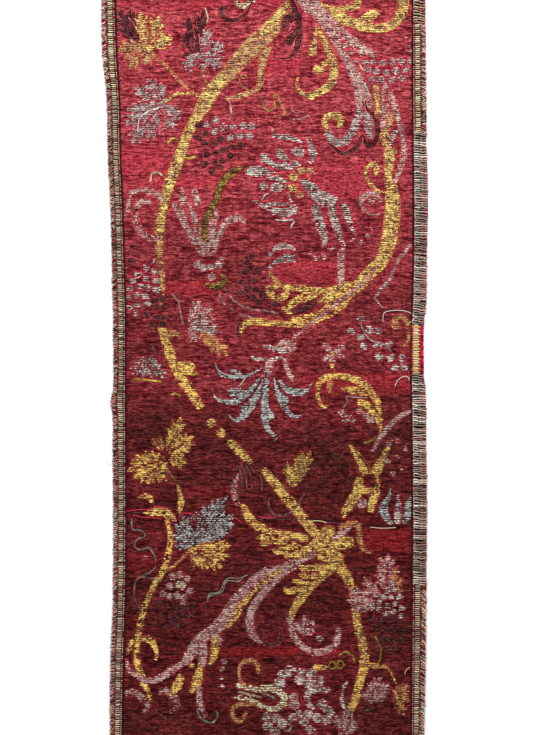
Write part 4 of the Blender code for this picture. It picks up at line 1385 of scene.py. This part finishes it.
def ground_colours(design, px, py):
    """The silk's colour at each place: painted highlight on the crinkles' ridges and painted shade in their
    valleys, fading, stains and streaks.
    """
    brightness = fading(py)
    brightness = np.clip(brightness + 0.12 * noise(px / 55, py / 30, 61), 0, 1)[..., None]
    ridge = shade_at(LIT_RIDGE, brightness)
    valley = shade_at(SHADED_VALLEY, brightness)
    smooth = shade_at(SMOOTH, brightness)
    lit = crinkle(px, py) + 0.14 * noise(px / 24, py / 1.7, 62) + 0.24 * noise(px / 3.8, py / 1.3, 63)
    # Painted light and shade: lighter on the crinkles' ridges, darker in their valleys
    colour = valley + np.clip(lit, 0, 1.2)[..., None] * (ridge - valley)
    flat = (0.9 * smoothness(px, py))[..., None]
    streaks = (0.92 + 0.10 * noise(px / 30, py / 1.3, 64))[..., None]
    colour = colour + flat * (smooth * streaks - colour)
    near, number = near_pattern(design, px, py)
    fresh = (np.clip(1.6 * near, 0, 1) * (number == 0))[..., None]
    colour = colour * (1 + 0.12 * fresh) + fresh * np.array(FRESH_TINT, float)
    beneath = np.array([(0, 0, 0)] + [THREADS[shape[0]].under for shape in design.shapes[1:]], float)
    # The silk showing under the threads gets the same painted crinkle shade
    beneath = beneath[number] * (0.72 + 0.36 * lit)[..., None]
    colour = np.where((number > 0)[..., None], beneath, colour)
    soil = staining(px, py)
    soil = np.clip(soil * (0.8 + 0.5 * noise(px / 12, py / 8, 65)), 0, 0.9)[..., None]
    brown = 0.52 * colour + np.array(STAIN_TINT, float)
    colour = colour + soil * (brown - colour)
    return np.clip(colour, 3, 245)


CLOTH_COLUMNS = 120
COARSE = 6


def cloth_grid(sign):
    """The pixel places of a length's grid, from its hemmed end to the seam."""
    end = HALF_LENGTH * PIXEL * sign
    seam_at_middle = float(seam_y(0.0))
    rows = COARSE * int(abs(end - seam_at_middle) / PIXEL / 0.85 / COARSE)
    down = np.linspace(0, 1, rows + 1)[:, None]
    across = np.linspace(0, 1, CLOTH_COLUMNS + 1)[None, :]
    rough_y = end + (seam_at_middle - end) * down
    x = cloth_edge_x(-1, rough_y) + (cloth_edge_x(1, rough_y) - cloth_edge_x(-1, rough_y)) * across
    y = end + (seam_y(x) + 0.5 * sign * SEAM_GAP - end) * down
    x = cloth_edge_x(-1, y) + (cloth_edge_x(1, y) - cloth_edge_x(-1, y)) * across
    return x / PIXEL + MIDDLE_X, MIDDLE_Y - y / PIXEL


def closed_sheet(name, top, underside, colours, material):
    """A closed mesh from a fine top grid and a coarse underside, walled all round."""
    rows, columns = top.shape[:2]
    fine = np.arange(rows * columns).reshape(rows, columns)
    below = underside.shape[:2]
    coarse = rows * columns + np.arange(below[0] * below[1]).reshape(below)
    faces = []
    for grid in (fine, coarse):
        quads = np.stack([grid[:-1, :-1], grid[:-1, 1:], grid[1:, 1:], grid[1:, :-1]], axis=2)
        quads = quads if grid is fine else quads[..., ::-1]
        faces.extend(quads.reshape(-1, 4).tolist())
    rims = ((fine[:, 0], coarse[:, 0]), (fine[::-1, -1], coarse[::-1, -1]),
            (fine[-1, :], coarse[-1, :]), (fine[0, ::-1], coarse[0, ::-1]))
    for upper, lower in rims:
        for k in range(len(lower) - 1):
            along = upper[k * COARSE:(k + 1) * COARSE + 1].tolist()
            faces.append([int(lower[k + 1]), int(lower[k])] + along)
    points = np.concatenate([top.reshape(-1, 3), underside.reshape(-1, 3)])
    mesh = bpy.data.meshes.new(name)
    mesh.from_pydata(points.tolist(), [], faces)
    under_colours = np.tile(colours.reshape(-1, 3).mean(axis=0), (below[0] * below[1], 1))
    add_colours(mesh, np.concatenate([colours.reshape(-1, 3), under_colours]))
    mesh.shade_smooth()
    mesh.materials.append(material)
    face_outwards(mesh)
    made = bpy.data.objects.new(name, mesh)
    bpy.context.scene.collection.objects.link(made)
    return made


def add_cloth(design, name, sign, material):
    px, py = cloth_grid(sign)
    x, y = to_x(px), to_y(py)
    top = np.stack([x, y, surface(px, py)], axis=2)
    under = np.stack([x, y, cloth_lift(x, y)], axis=2)[::COARSE, ::COARSE]
    return closed_sheet(name, top, under, ground_colours(design, px, py), material)


# Where the galloon's tips and inner edges lie down the cloth, in pixels
Edging = namedtuple("Edging", "y left_tip left_inner right_inner right_tip")
EDGINGS = (
    Edging(-20, 101.0, 114.5, 412.5, 425.5),
    Edging(50, 102.0, 116.5, 412.5, 426.0),
    Edging(100, 106.5, 119.4, 412.5, 426.5),
    Edging(150, 107.5, 120.2, 413.0, 427.3),
    Edging(200, 110.0, 122.2, 413.5, 428.5),
    Edging(250, 111.5, 123.7, 413.5, 427.5),
    Edging(300, 112.5, 125.2, 412.5, 427.0),
    Edging(325, 113.0, 125.5, 411.5, 424.0),
    Edging(372, 113.3, 125.5, 411.0, 424.0),
    Edging(390, 112.8, 125.6, 411.2, 426.0),
    Edging(402, 110.2, 125.6, 411.5, 426.5),
    Edging(414, 112.5, 125.6, 411.6, 426.6),
    Edging(450, 112.6, 125.7, 412.0, 426.8),
    Edging(500, 113.0, 126.0, 412.3, 427.6),
    Edging(550, 113.0, 126.0, 412.4, 427.2),
    Edging(600, 112.8, 125.2, 412.0, 426.4),
    Edging(650, 110.6, 123.8, 411.8, 425.8),
    Edging(700, 109.9, 122.6, 411.4, 425.0),
    Edging(755, 110.2, 121.8, 411.0, 423.6),
)

# The galloon's weave at stretches of its length, in pixels
Stretch = namedtuple("Stretch", "side top bottom style")
STRETCHES = (
    Stretch(-1, TOP_PX + 0.3, 90, "pale"),
    Stretch(-1, 90, BOTTOM_PX - 0.3, "grey"),
    Stretch(1, TOP_PX + 0.3, 24, "strands"),
    Stretch(1, 24, 132, "pale"),
    Stretch(1, 132, BARE_TOP_PX, "bars"),
    Stretch(1, BARE_TOP_PX, BARE_BOTTOM_PX, "bare"),
    Stretch(1, BARE_BOTTOM_PX, 585, "bars"),
    Stretch(1, 585, BOTTOM_PX - 0.3, "fringe"),
)
# Each style's ladder or bar colours from bright to dull, and how far apart its bars are
Weave = namedtuple("Weave", "colours pitch")
WEAVES = {
    "pale": Weave(((240, 228, 188), (218, 198, 148), (160, 138, 102)), 2.0),
    "grey": Weave(((208, 198, 168), (180, 166, 136), (126, 108, 88)), 2.0),
    "bars": Weave(((212, 202, 182), (172, 156, 142), (118, 96, 88)), 2.3),
    "strands": Weave(((230, 214, 172), (190, 168, 130), (126, 100, 80)), 2.6),
    "bare": Weave(((252, 244, 186), (244, 228, 150), (226, 202, 116)), 1.75),
    "fringe": Weave(((222, 210, 178), (190, 174, 146), (132, 112, 92)), 2.0),
}
# The tape's own colours from the inner edge to the outer one, by share of its width
TAPE_SHARES = (0.0, 0.14, 0.20, 0.56, 0.62, 1.0)
TAPE_COLOURS = {
    "bars": ((110, 18, 34), (66, 20, 26), (26, 16, 17), (26, 15, 17), (44, 15, 20), (128, 20, 40)),
    "bare": ((196, 28, 60), (190, 28, 58), (140, 92, 40), (140, 92, 40), (176, 24, 54), (190, 24, 54)),
    "pale": ((80, 12, 24), (126, 16, 34), (54, 38, 28), (54, 38, 28), (126, 16, 34), (120, 16, 36)),
}


# The tape's rise, thickness and drop past the cloth's edge, and its threads' thicknesses, in metres
TAPE_RISE = 0.0006
TAPE_THICKNESS = 0.0007
DROP_START = 0.0002
DROP_REACH = 0.0021
BAR_THICKNESS = 0.0006
STRAND_THICKNESS = 0.00055
SNAG_THICKNESS = 0.00065
# How far apart the loops and the snags on them lie, in pixels
LOOP_STEP = 0.95
SNAG_STEP = 0.8


def galloon_seat(x, y):
    near = (y - HEM_RAMP, y - 0.5 * HEM_RAMP, y, y + 0.5 * HEM_RAMP, y + HEM_RAMP)
    return np.max([cloth_lift(x, place) + cloth_thickness(place) for place in near], axis=0) + LYING_GAP


def galloon_x(side, y, across):
    """The x at a share of the galloon's width, 0 at its inner edge and 1 at the mean tip."""
    names = ("left_inner", "left_tip") if side < 0 else ("right_inner", "right_tip")
    places = [edging.y for edging in EDGINGS]
    py = MIDDLE_Y - np.asarray(y, float) / PIXEL
    inner, tip = (curve_through(places, [getattr(edging, name) for edging in EDGINGS], py)
                  for name in names)
    return to_x(inner + (tip - inner) * across)


def galloon_top(side, x, y):
    """The height of the galloon's tape: flat on the cloth, then down past its edge to the surface."""
    past = side * (x - cloth_edge_x(side, y))
    over = galloon_seat(np.where(past > 0, cloth_edge_x(side, y), x), y)
    return over * (1 - faded(past + DROP_START, DROP_REACH)) + TAPE_RISE


def style_at(side, py):
    for stretch in STRETCHES:
        if stretch.side == side and stretch.top <= py <= stretch.bottom:
            return stretch.style
    return "pale"


def add_tape(name, side, top, bottom, reach, material):
    """The galloon's tape as a thin closed strip, under its bars and loops."""
    rows = COARSE * max(2, int((bottom - top) / 2.4 / COARSE))
    py = np.linspace(top, bottom, rows + 1)[:, None]
    y = to_y(py)
    across = np.linspace(0.02, reach, 3 * COARSE + 1)[None, :]
    ragged = 1 + 0.05 * noise(py / 2.4, 3.5 * side, 71) * (across > 0.8 * reach)
    x = galloon_x(side, y, across * ragged)
    y = np.broadcast_to(y, x.shape)
    height = galloon_top(side, x, y)
    upper = np.stack([x, y, height], axis=2)
    lower = np.stack([x, y, np.maximum(height - TAPE_THICKNESS, 0.0)], axis=2)[::COARSE, ::COARSE]
    colours = np.empty(x.shape + (3,))
    for row in range(rows + 1):
        style = style_at(side, float(py[row, 0]))
        style = "bars" if style == "strands" else style
        table = np.array(TAPE_COLOURS.get(style, TAPE_COLOURS["pale"]), float)
        colours[row] = np.stack([np.interp(across[0], TAPE_SHARES, table[:, k]) for k in range(3)], axis=1)
    shade = 0.95 + 0.30 * noise(x / PIXEL / 1.6, y / PIXEL / 1.6, 72)
    return closed_sheet(name, upper, lower, colours * shade[..., None], material)


def lay_on_galloon(bank, side, places, width, thickness, colour, rise=0.0001):
    """Lays a thread through rows of share across the galloon and pixel y."""
    knots = np.asarray(places, float)
    t = np.linspace(0, len(knots) - 1, 3 * (len(knots) - 1) + 1)
    share = np.interp(t, np.arange(len(knots)), knots[:, 0])
    py = curve_through(np.arange(len(knots)), knots[:, 1], t)
    y = to_y(py)
    x = galloon_x(side, y, share)
    seat = galloon_top(side, x, y) + rise
    bank.lay(np.stack([x / PIXEL + MIDDLE_X, py], axis=1), width, thickness, colour, seat, 0.6)


def chances(k, seed):
    """Four numbers from -1 to 1 for a numbered thread."""
    return [float(hashed(np.array([k * 7 + part]), np.array([seed]), 73)[0]) for part in range(4)]


def picked(colours, chance, level):
    """One of three colours, mostly the first, a little lighter or darker."""
    colour = colours[0] if chance > 0.1 else colours[1] if chance > -0.6 else colours[2]
    return np.clip(np.array(colour, float) * (1 + 0.14 * level), 0, 250)


def weave_galloon(bank, stretch):
    """Lays the bars, loops and margins of one stretch of galloon."""
    side, style = stretch.side, stretch.style
    weave_of = WEAVES[style]
    count = int((stretch.bottom - stretch.top) / weave_of.pitch)
    pitch = (stretch.bottom - stretch.top) / count
    for k in range(count):
        a, b, c, d = chances(k, int(stretch.top) + side)
        y = stretch.top + (k + 0.5 + 0.10 * c) * pitch
        lean = 1.3 * float(noise(y / 9, 2.5, 75 + side)) + 0.3 * b
        colour = picked(weave_of.colours, 0.8 * a + 0.5 * float(noise(y / 7, 8.5, 76 + side)) + 0.2, d)
        if style in ("bars", "strands"):
            lay_bar(bank, side, y, colour, (a, b, c, d))
        elif style == "bare":
            start, end = 0.12 + 0.05 * a, 0.64 + 0.09 * (2 * (k % 2) - 1) + 0.05 * b
            places = ((start, y), (0.4, y + 0.2 * c), (end, y + 0.5 * b))
            lay_on_galloon(bank, side, places, 1.05, STRAND_THICKNESS, colour)
            for share in (0.05, 0.80, 0.93):
                crimson = np.array((216, 40, 76.0)) if a * c + d > -0.3 else np.array((96, 12, 30.0))
                place = share + 0.04 * c
                lay_on_galloon(bank, side, ((place - 0.05, y + a), (place + 0.05, y + 0.6)), 1.2, 0.0004,
                               np.clip(crimson * (1 + 0.2 * d), 0, 250))
        else:
            middle = 0.38 + 0.08 * b
            bend = 0.5 * d
            lay_on_galloon(bank, side, ((0.19 + 0.02 * b, y - 0.4 * lean), (middle, y + bend),
                                        (0.56 + 0.03 * c, y + 0.4 * lean)), 1.0 + 0.2 * d,
                           BAR_THICKNESS, colour)
            knot = (210, 26, 58) if a > -0.3 else (50, 14, 20)
            lay_on_galloon(bank, side, ((0.59, y + 0.9), (0.66, y + 1.0)), 1.2, STRAND_THICKNESS, knot)
        if style != "bare":
            pale = (236, 184, 176) if side > 0 else (238, 214, 196)
            margin = ((0.055, y + 0.4), (0.125, y + 0.2 + 0.3 * d))
            lay_on_galloon(bank, side, margin, 1.05, STRAND_THICKNESS,
                           picked((pale, pale, (150, 20, 44)), a, c))
    if style in ("pale", "grey", "fringe"):
        lay_loops(bank, stretch)
    shadow_line(bank, stretch)


def lay_bar(bank, side, y, colour, chance):
    """Lays one wavy bar right across the galloon, with what shows red at its outer end."""
    a, b, c, d = chance
    shares = np.array([0.05, 0.25, 0.45, 0.62, 0.80, 0.98]) + np.array([0.03 * b, 0, 0, 0, 0, 0.05 * c])
    waves = 0.9 * noise(shares * 3 + 5 * side, np.full(6, y / 4.0), 77)
    waves = waves + 0.35 * noise(shares * 9, np.full(6, y), 78)
    drop = 1.2 * (shares - 0.5)
    shade = 1 + 0.28 * noise(shares * 6, np.full(6, y / 2.0), 79)
    colours = np.clip(np.asarray(colour)[None, :] * shade[:, None], 0, 250)
    split = 3 if a > -0.2 else 6
    for first, last in ((0, split), (split - 1, 6)):
        if last - first > 1:
            places = np.stack([shares, y + drop + waves], axis=1)[first:last]
            tone = colours[first:last].mean(axis=0) * (1 if first == 0 else 1 - 0.22 * abs(b))
            lay_on_galloon(bank, side, places, 1.2 + 0.35 * d, BAR_THICKNESS, tone)
    if c > -0.4:
        red = np.clip(np.array((202, 28, 62.0)) * (1 + 0.25 * d), 0, 250)
        place = 0.78 + 0.18 * a
        lay_on_galloon(bank, side, ((place - 0.08, y + 0.9), (place + 0.08, y + 1.5)), 1.5, 0.0008, red)
    if b > 0.3:
        pink = (206, 120, 118)
        place = 0.35 + 0.3 * a
        lay_on_galloon(bank, side, ((place - 0.06, y + 1.1), (place + 0.06, y + 1.4)), 1.2, 0.0007, pink)


def lay_loops(bank, stretch):
    """The tangled loops from the ladder out over the edge, over red silk."""
    side, style = stretch.side, stretch.style
    light = (224, 212, 186) if style != "grey" else (200, 188, 166)
    tones = (light, (108, 82, 62), (50, 24, 26))
    for k in range(int((stretch.bottom - stretch.top) / LOOP_STEP)):
        y = stretch.top + (k + 0.5) * LOOP_STEP
        a, b, c, d = chances(k, 200 + int(stretch.top) + side)
        patch = float(noise(y / 8, 4.5, 80 + side))
        slope = 1.0 + 1.8 * patch + 2.0 * b
        if style == "fringe":
            slope = 2.8 + 1.2 * patch + 1.0 * b
        colour = picked(tones, 1.3 * a + 0.2, d)
        end = 0.99 + 0.06 * c
        start = 0.66 + 0.08 * d
        middle = 0.5 * (start + end)
        y_end = min(y + slope, BOTTOM_PX - 1.2)
        lay_on_galloon(bank, side, ((start, y), (middle, 0.5 * (y + y_end) + 1.3 * c), (end, y_end)),
                       0.78, STRAND_THICKNESS, colour, 0.0001 + 0.0003 * (k % 2))
    for k in range(int((stretch.bottom - stretch.top) / SNAG_STEP)):
        y = stretch.top + 1.5 + (k + 0.5) * SNAG_STEP
        if y > stretch.bottom - 1.5:
            break
        a, b, c, d = chances(k, 400 + int(stretch.top) + side)
        share = 0.83 + 0.15 * a
        red = float(noise(y / 4, 6.5, 82 + side)) + 0.6 * b > 0.0
        colour = (206, 26, 60) if red else tones[0] if c > 0.1 else tones[2]
        colour = np.clip(np.array(colour, float) * (1 + 0.2 * d), 0, 250)
        places = ((share - 0.06 * b, y - 0.7 * c), (share + 0.06, y + 0.7 * c))
        lay_on_galloon(bank, side, places, 0.95, SNAG_THICKNESS, colour, 0.0003)


def shadow_line(bank, stretch):
    """A dark thread along the galloon's inner edge: painted shadow that the galloon casts on the cloth."""
    ys = np.append(np.arange(stretch.top, stretch.bottom, 2.5), stretch.bottom)
    y = to_y(ys)
    x = galloon_x(stretch.side, y, 0.03 * noise(ys / 5, 1.5, 90 + stretch.side) - 0.03)
    path = np.stack([x / PIXEL + MIDDLE_X, ys], axis=1)
    widths = 1.5 + 0.5 * noise(ys / 4, 5.5, 92 + stretch.side)
    bank.lay(path, widths, 0.0002, (30, 5, 10), ridge_top(path) + 0.0006)


def free_threads(bank):
    """Threads that have come loose, across the cloth or out over the edging."""
    loose = (
        (WHITE, 1.0, ((383, 322), (384, 313), (394, 310.5), (405, 311), (412, 314))),
        (WHITE, 1.1, ((394.5, 387), (398, 380), (404, 376.5), (409, 378), (408.5, 381))),
        (CREAMY, 1.6, ((409, 323), (412, 321), (414, 319))),
        ((226, 150, 120), 1.5, ((404.5, 674.5), (406, 670), (410, 667))),
        ((196, 44, 70), 1.3, ((406, 708), (409, 705), (412, 705))),
        (PINK, 0.9, ((154, 112), (170, 116), (188, 113), (204, 118))),
        (RED, 1.2, ((127, 511), (139, 509.5), (151, 509), (158, 506), (169, 510))),
        (RED, 1.2, ((132, 514.5), (142, 517), (152, 517.5), (162, 519))),
        (RED, 1.3, ((179, 516), (184, 513.6), (188, 513), (197, 516.5))),
        (RED, 1.3, ((232, 517), (237, 519), (242, 523))),
        (RED, 1.3, ((258, 516), (267, 517.6), (277, 517))),
        (INKY, 1.6, ((305, 519), (316, 518), (329, 520.5))),
        (CREAMY, 1.2, ((308, 521.5), (318, 520.6), (327, 522.6))),
        (INKY, 1.6, ((366, 524.5), (388, 526), (410, 525))),
        (CREAMY, 1.1, ((370, 527), (382, 528), (396, 527.4))),
        ((196, 188, 178), 0.9, ((109, 461), (107.6, 463.4), (111, 464.5))),
    )
    for colour, width, points in loose:
        path = smooth_path(points, 1.2)
        seat = np.maximum(ridge_top(path), 0.0) + 0.0005
        beyond = ~inside_cloth(path)
        seat[beyond] = OVER_GALLOON
        bank.lay(path, 0.72 * width, 0.0003, colour, seat)


def silk_fuzz(bank):
    """Short hairs of silk that stand off the crinkled ground."""
    index = np.arange(HAIR_COUNT)
    spread = [0.5 + 0.5 * hashed(index, index * 0 + part, 95) for part in range(6)]
    for k in range(HAIR_COUNT):
        px = 126 + 278 * spread[0][k]
        py = TOP_PX + 4 + (LENGTH_IN_PIXELS - 8) * spread[1][k]
        length = 2.5 + 6 * spread[2][k]
        rise = 2.2 * (spread[3][k] - 0.5)
        bow = 1.6 * (spread[4][k] - 0.5)
        middle = (px + 0.5 * length, py + bow + 0.5 * rise)
        path = smooth_path(((px, py), middle, (px + length, py + rise)), 1.5)
        brightness = float(fading(py))
        colour = shade_at(HAIR, brightness * spread[5][k])
        seat = ridge_top(path) + HAIR_THICKNESS
        bank.lay(path, HAIR_WIDTH, HAIR_THICKNESS, np.clip(colour, 0, 240), seat)


# A noise that lightens and darkens a material: how fine it is, and its tints at each end
Grain = namedtuple("Grain", "scale low high dark light")
SILK_GRAINS = (
    Grain((360, 1250, 360), 0.38, 0.62, (0.58, 0.34, 0.42), (1.42, 1.90, 1.74)),
    # The next grain paints shade into thin crease strokes
    Grain((150, 1000, 150), 0.54, 0.64, (1.0, 1.0, 1.0), (0.46, 0.24, 0.32)),
    Grain((1350, 1500, 1350), 0.36, 0.64, (0.60, 0.38, 0.46), (1.38, 1.74, 1.62)),
    Grain((1300, 60, 60), 0.34, 0.66, (0.84, 0.80, 0.80), (1.16, 1.20, 1.20)),
)
THREAD_GRAINS = (Grain((1500, 2000, 1500), 0.30, 0.70, (0.78, 0.76, 0.76), (1.22, 1.24, 1.24)),)


def finish_material(name, roughness, metallic, gloss, grains):
    """A material that takes its colour from the mesh's tint, broken up by its grains."""
    made = bpy.data.materials.new(name)
    made.use_nodes = True
    nodes, links = made.node_tree.nodes, made.node_tree.links
    shader = nodes["Principled BSDF"]
    shader.inputs["Roughness"].default_value = roughness
    shader.inputs["Metallic"].default_value = metallic
    shader.inputs["Specular IOR Level"].default_value = gloss
    tint = nodes.new("ShaderNodeAttribute")
    tint.attribute_name = "tint"
    place = nodes.new("ShaderNodeTexCoord")
    colour = tint.outputs["Color"]
    for number, grain in enumerate(grains):
        stretch = nodes.new("ShaderNodeMapping")
        stretch.inputs["Location"].default_value = (3.7 * number, 1.3 * number, 0)
        stretch.inputs["Scale"].default_value = grain.scale
        speckle = nodes.new("ShaderNodeTexNoise")
        speckle.inputs["Scale"].default_value = 1.0
        speckle.inputs["Detail"].default_value = 2.0
        tints = nodes.new("ShaderNodeMapRange")
        tints.data_type = "FLOAT_VECTOR"
        tints.inputs[7].default_value = (grain.low,) * 3
        tints.inputs[8].default_value = (grain.high,) * 3
        tints.inputs[9].default_value = grain.dark
        tints.inputs[10].default_value = grain.light
        scaled = nodes.new("ShaderNodeVectorMath")
        scaled.operation = "MULTIPLY"
        links.new(place.outputs["Object"], stretch.inputs["Vector"])
        links.new(stretch.outputs["Vector"], speckle.inputs["Vector"])
        links.new(speckle.outputs["Fac"], tints.inputs[6])
        links.new(colour, scaled.inputs[0])
        links.new(tints.outputs[1], scaled.inputs[1])
        colour = scaled.outputs["Vector"]
        if number == 0:
            bump = nodes.new("ShaderNodeBump")
            bump.inputs["Strength"].default_value = 0.5
            bump.inputs["Distance"].default_value = 0.0002
            links.new(speckle.outputs["Fac"], bump.inputs["Height"])
            links.new(bump.outputs["Normal"], shader.inputs["Normal"])
    links.new(colour, shader.inputs["Base Color"])
    return made


CAMERA_HEIGHT = 2.0
FLOOR_GAP = 0.0003
SKY_STRENGTH = 0.62
# The lamps, all turned to the panel's middle: place and width in metres
Softbox = namedtuple("Softbox", "place size watts")
SOFTBOXES = (
    Softbox((0.1, 1.1, 0.85), 0.7, 16.0),
    Softbox((-0.9, -0.2, 1.2), 1.0, 5.0),
)


def add_stage():
    """A pale floor, soft light from beyond the panel's top and from its left, and the camera overhead."""
    scene = bpy.context.scene
    bpy.ops.mesh.primitive_plane_add(size=4.0, location=(0, 0, -FLOOR_GAP))
    floor = bpy.context.object
    floor.name = "floor"
    paper = bpy.data.materials.new("white_paper")
    paper.use_nodes = True
    shader = paper.node_tree.nodes["Principled BSDF"]
    shader.inputs["Base Color"].default_value = (0.96, 0.96, 0.96, 1.0)
    shader.inputs["Roughness"].default_value = 0.9
    floor.data.materials.append(paper)
    world = scene.world or bpy.data.worlds.new("studio")
    scene.world = world
    world.use_nodes = True
    world.node_tree.nodes["Background"].inputs["Color"].default_value = (1.0, 1.0, 1.0, 1.0)
    world.node_tree.nodes["Background"].inputs["Strength"].default_value = SKY_STRENGTH
    for place, size, watts in SOFTBOXES:
        lamp = bpy.data.lights.new("softbox", "AREA")
        lamp.shape = "SQUARE"
        lamp.size = size
        lamp.energy = watts
        holder = bpy.data.objects.new("softbox", lamp)
        holder.location = place
        holder.rotation_euler = (-Vector(place)).to_track_quat("-Z", "Y").to_euler()
        scene.collection.objects.link(holder)
    add_camera(scene)
    scene.view_settings.view_transform = "Standard"


def add_camera(scene):
    data = bpy.data.cameras.new("overhead")
    data.sensor_fit = "VERTICAL"
    data.sensor_height = 24.0
    data.lens = data.sensor_height * CAMERA_HEIGHT / (IMAGE_HEIGHT * PIXEL)
    camera = bpy.data.objects.new("overhead", data)
    camera.location = (float(to_x(0.5 * IMAGE_WIDTH)), float(to_y(0.5 * IMAGE_HEIGHT)),
                       CAMERA_HEIGHT)
    scene.collection.objects.link(camera)
    scene.camera = camera


def build():
    design = Design()
    for motif in MOTIFS:
        motif(design)
    silk = finish_material("crimson_silk", 0.8, 0.0, 0.03, SILK_GRAINS)
    gold = finish_material("gold_thread", 0.45, 0.2, 0.35, THREAD_GRAINS)
    silver = finish_material("silver_thread", 0.45, 0.2, 0.35, THREAD_GRAINS)
    floss = finish_material("silk_floss", 0.65, 0.0, 0.1, THREAD_GRAINS)
    braid = finish_material("galloon_thread", 0.5, 0.1, 0.3, THREAD_GRAINS)
    tape = finish_material("galloon_tape", 0.8, 0.0, 0.05, THREAD_GRAINS)

    upper = add_cloth(design, "cloth_upper_face", 1, silk)
    lower = add_cloth(design, "cloth_lower_face", -1, silk)
    names = ("gold_wefts", "silver_wefts", "silk_wefts")
    banks = {name: ThreadBank(name, FLAT_PROFILE) for name in names}
    weave(design, banks)
    outlines = ThreadBank("outline_threads", RIDGE_PROFILE)
    outline_threads(design, outlines)
    fuzz = ThreadBank("silk_fuzz", RIDGE_PROFILE)
    silk_fuzz(fuzz)
    free_threads(fuzz)
    pattern = [
        banks["gold_wefts"].build(gold),
        banks["silver_wefts"].build(silver),
        banks["silk_wefts"].build(floss),
        outlines.build(floss),
        fuzz.build(floss),
    ]
    tapes = []
    for name, side, top, bottom, reach in (
            ("galloon_left", -1, TOP_PX + 0.2, BOTTOM_PX - 0.2, 0.94),
            ("galloon_right_upper", 1, TOP_PX + 0.2, BARE_TOP_PX, 0.94),
            ("galloon_right_bare", 1, BARE_TOP_PX, BARE_BOTTOM_PX, 0.97),
            ("galloon_right_lower", 1, BARE_BOTTOM_PX, BOTTOM_PX - 0.2, 0.94)):
        strip = add_tape(name + "_tape", side, top, bottom, reach, tape)
        bank = ThreadBank(name + "_threads", RIDGE_PROFILE)
        for stretch in STRETCHES:
            if stretch.side == side and top - 1 <= stretch.top and stretch.bottom <= bottom + 1:
                weave_galloon(bank, stretch)
        threads = bank.build(braid)
        tapes.append((name, strip, threads, (bottom - top) * PIXEL))

    for name, piece in (("cloth_upper", upper), ("cloth_lower", lower)):
        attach(piece, "root")
        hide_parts(name)
    for piece in pattern:
        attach(piece, "root")
    for name, strip, threads, length in tapes:
        for piece in (strip, threads):
            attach(piece, "root")
        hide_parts(name)


build()
add_stage()
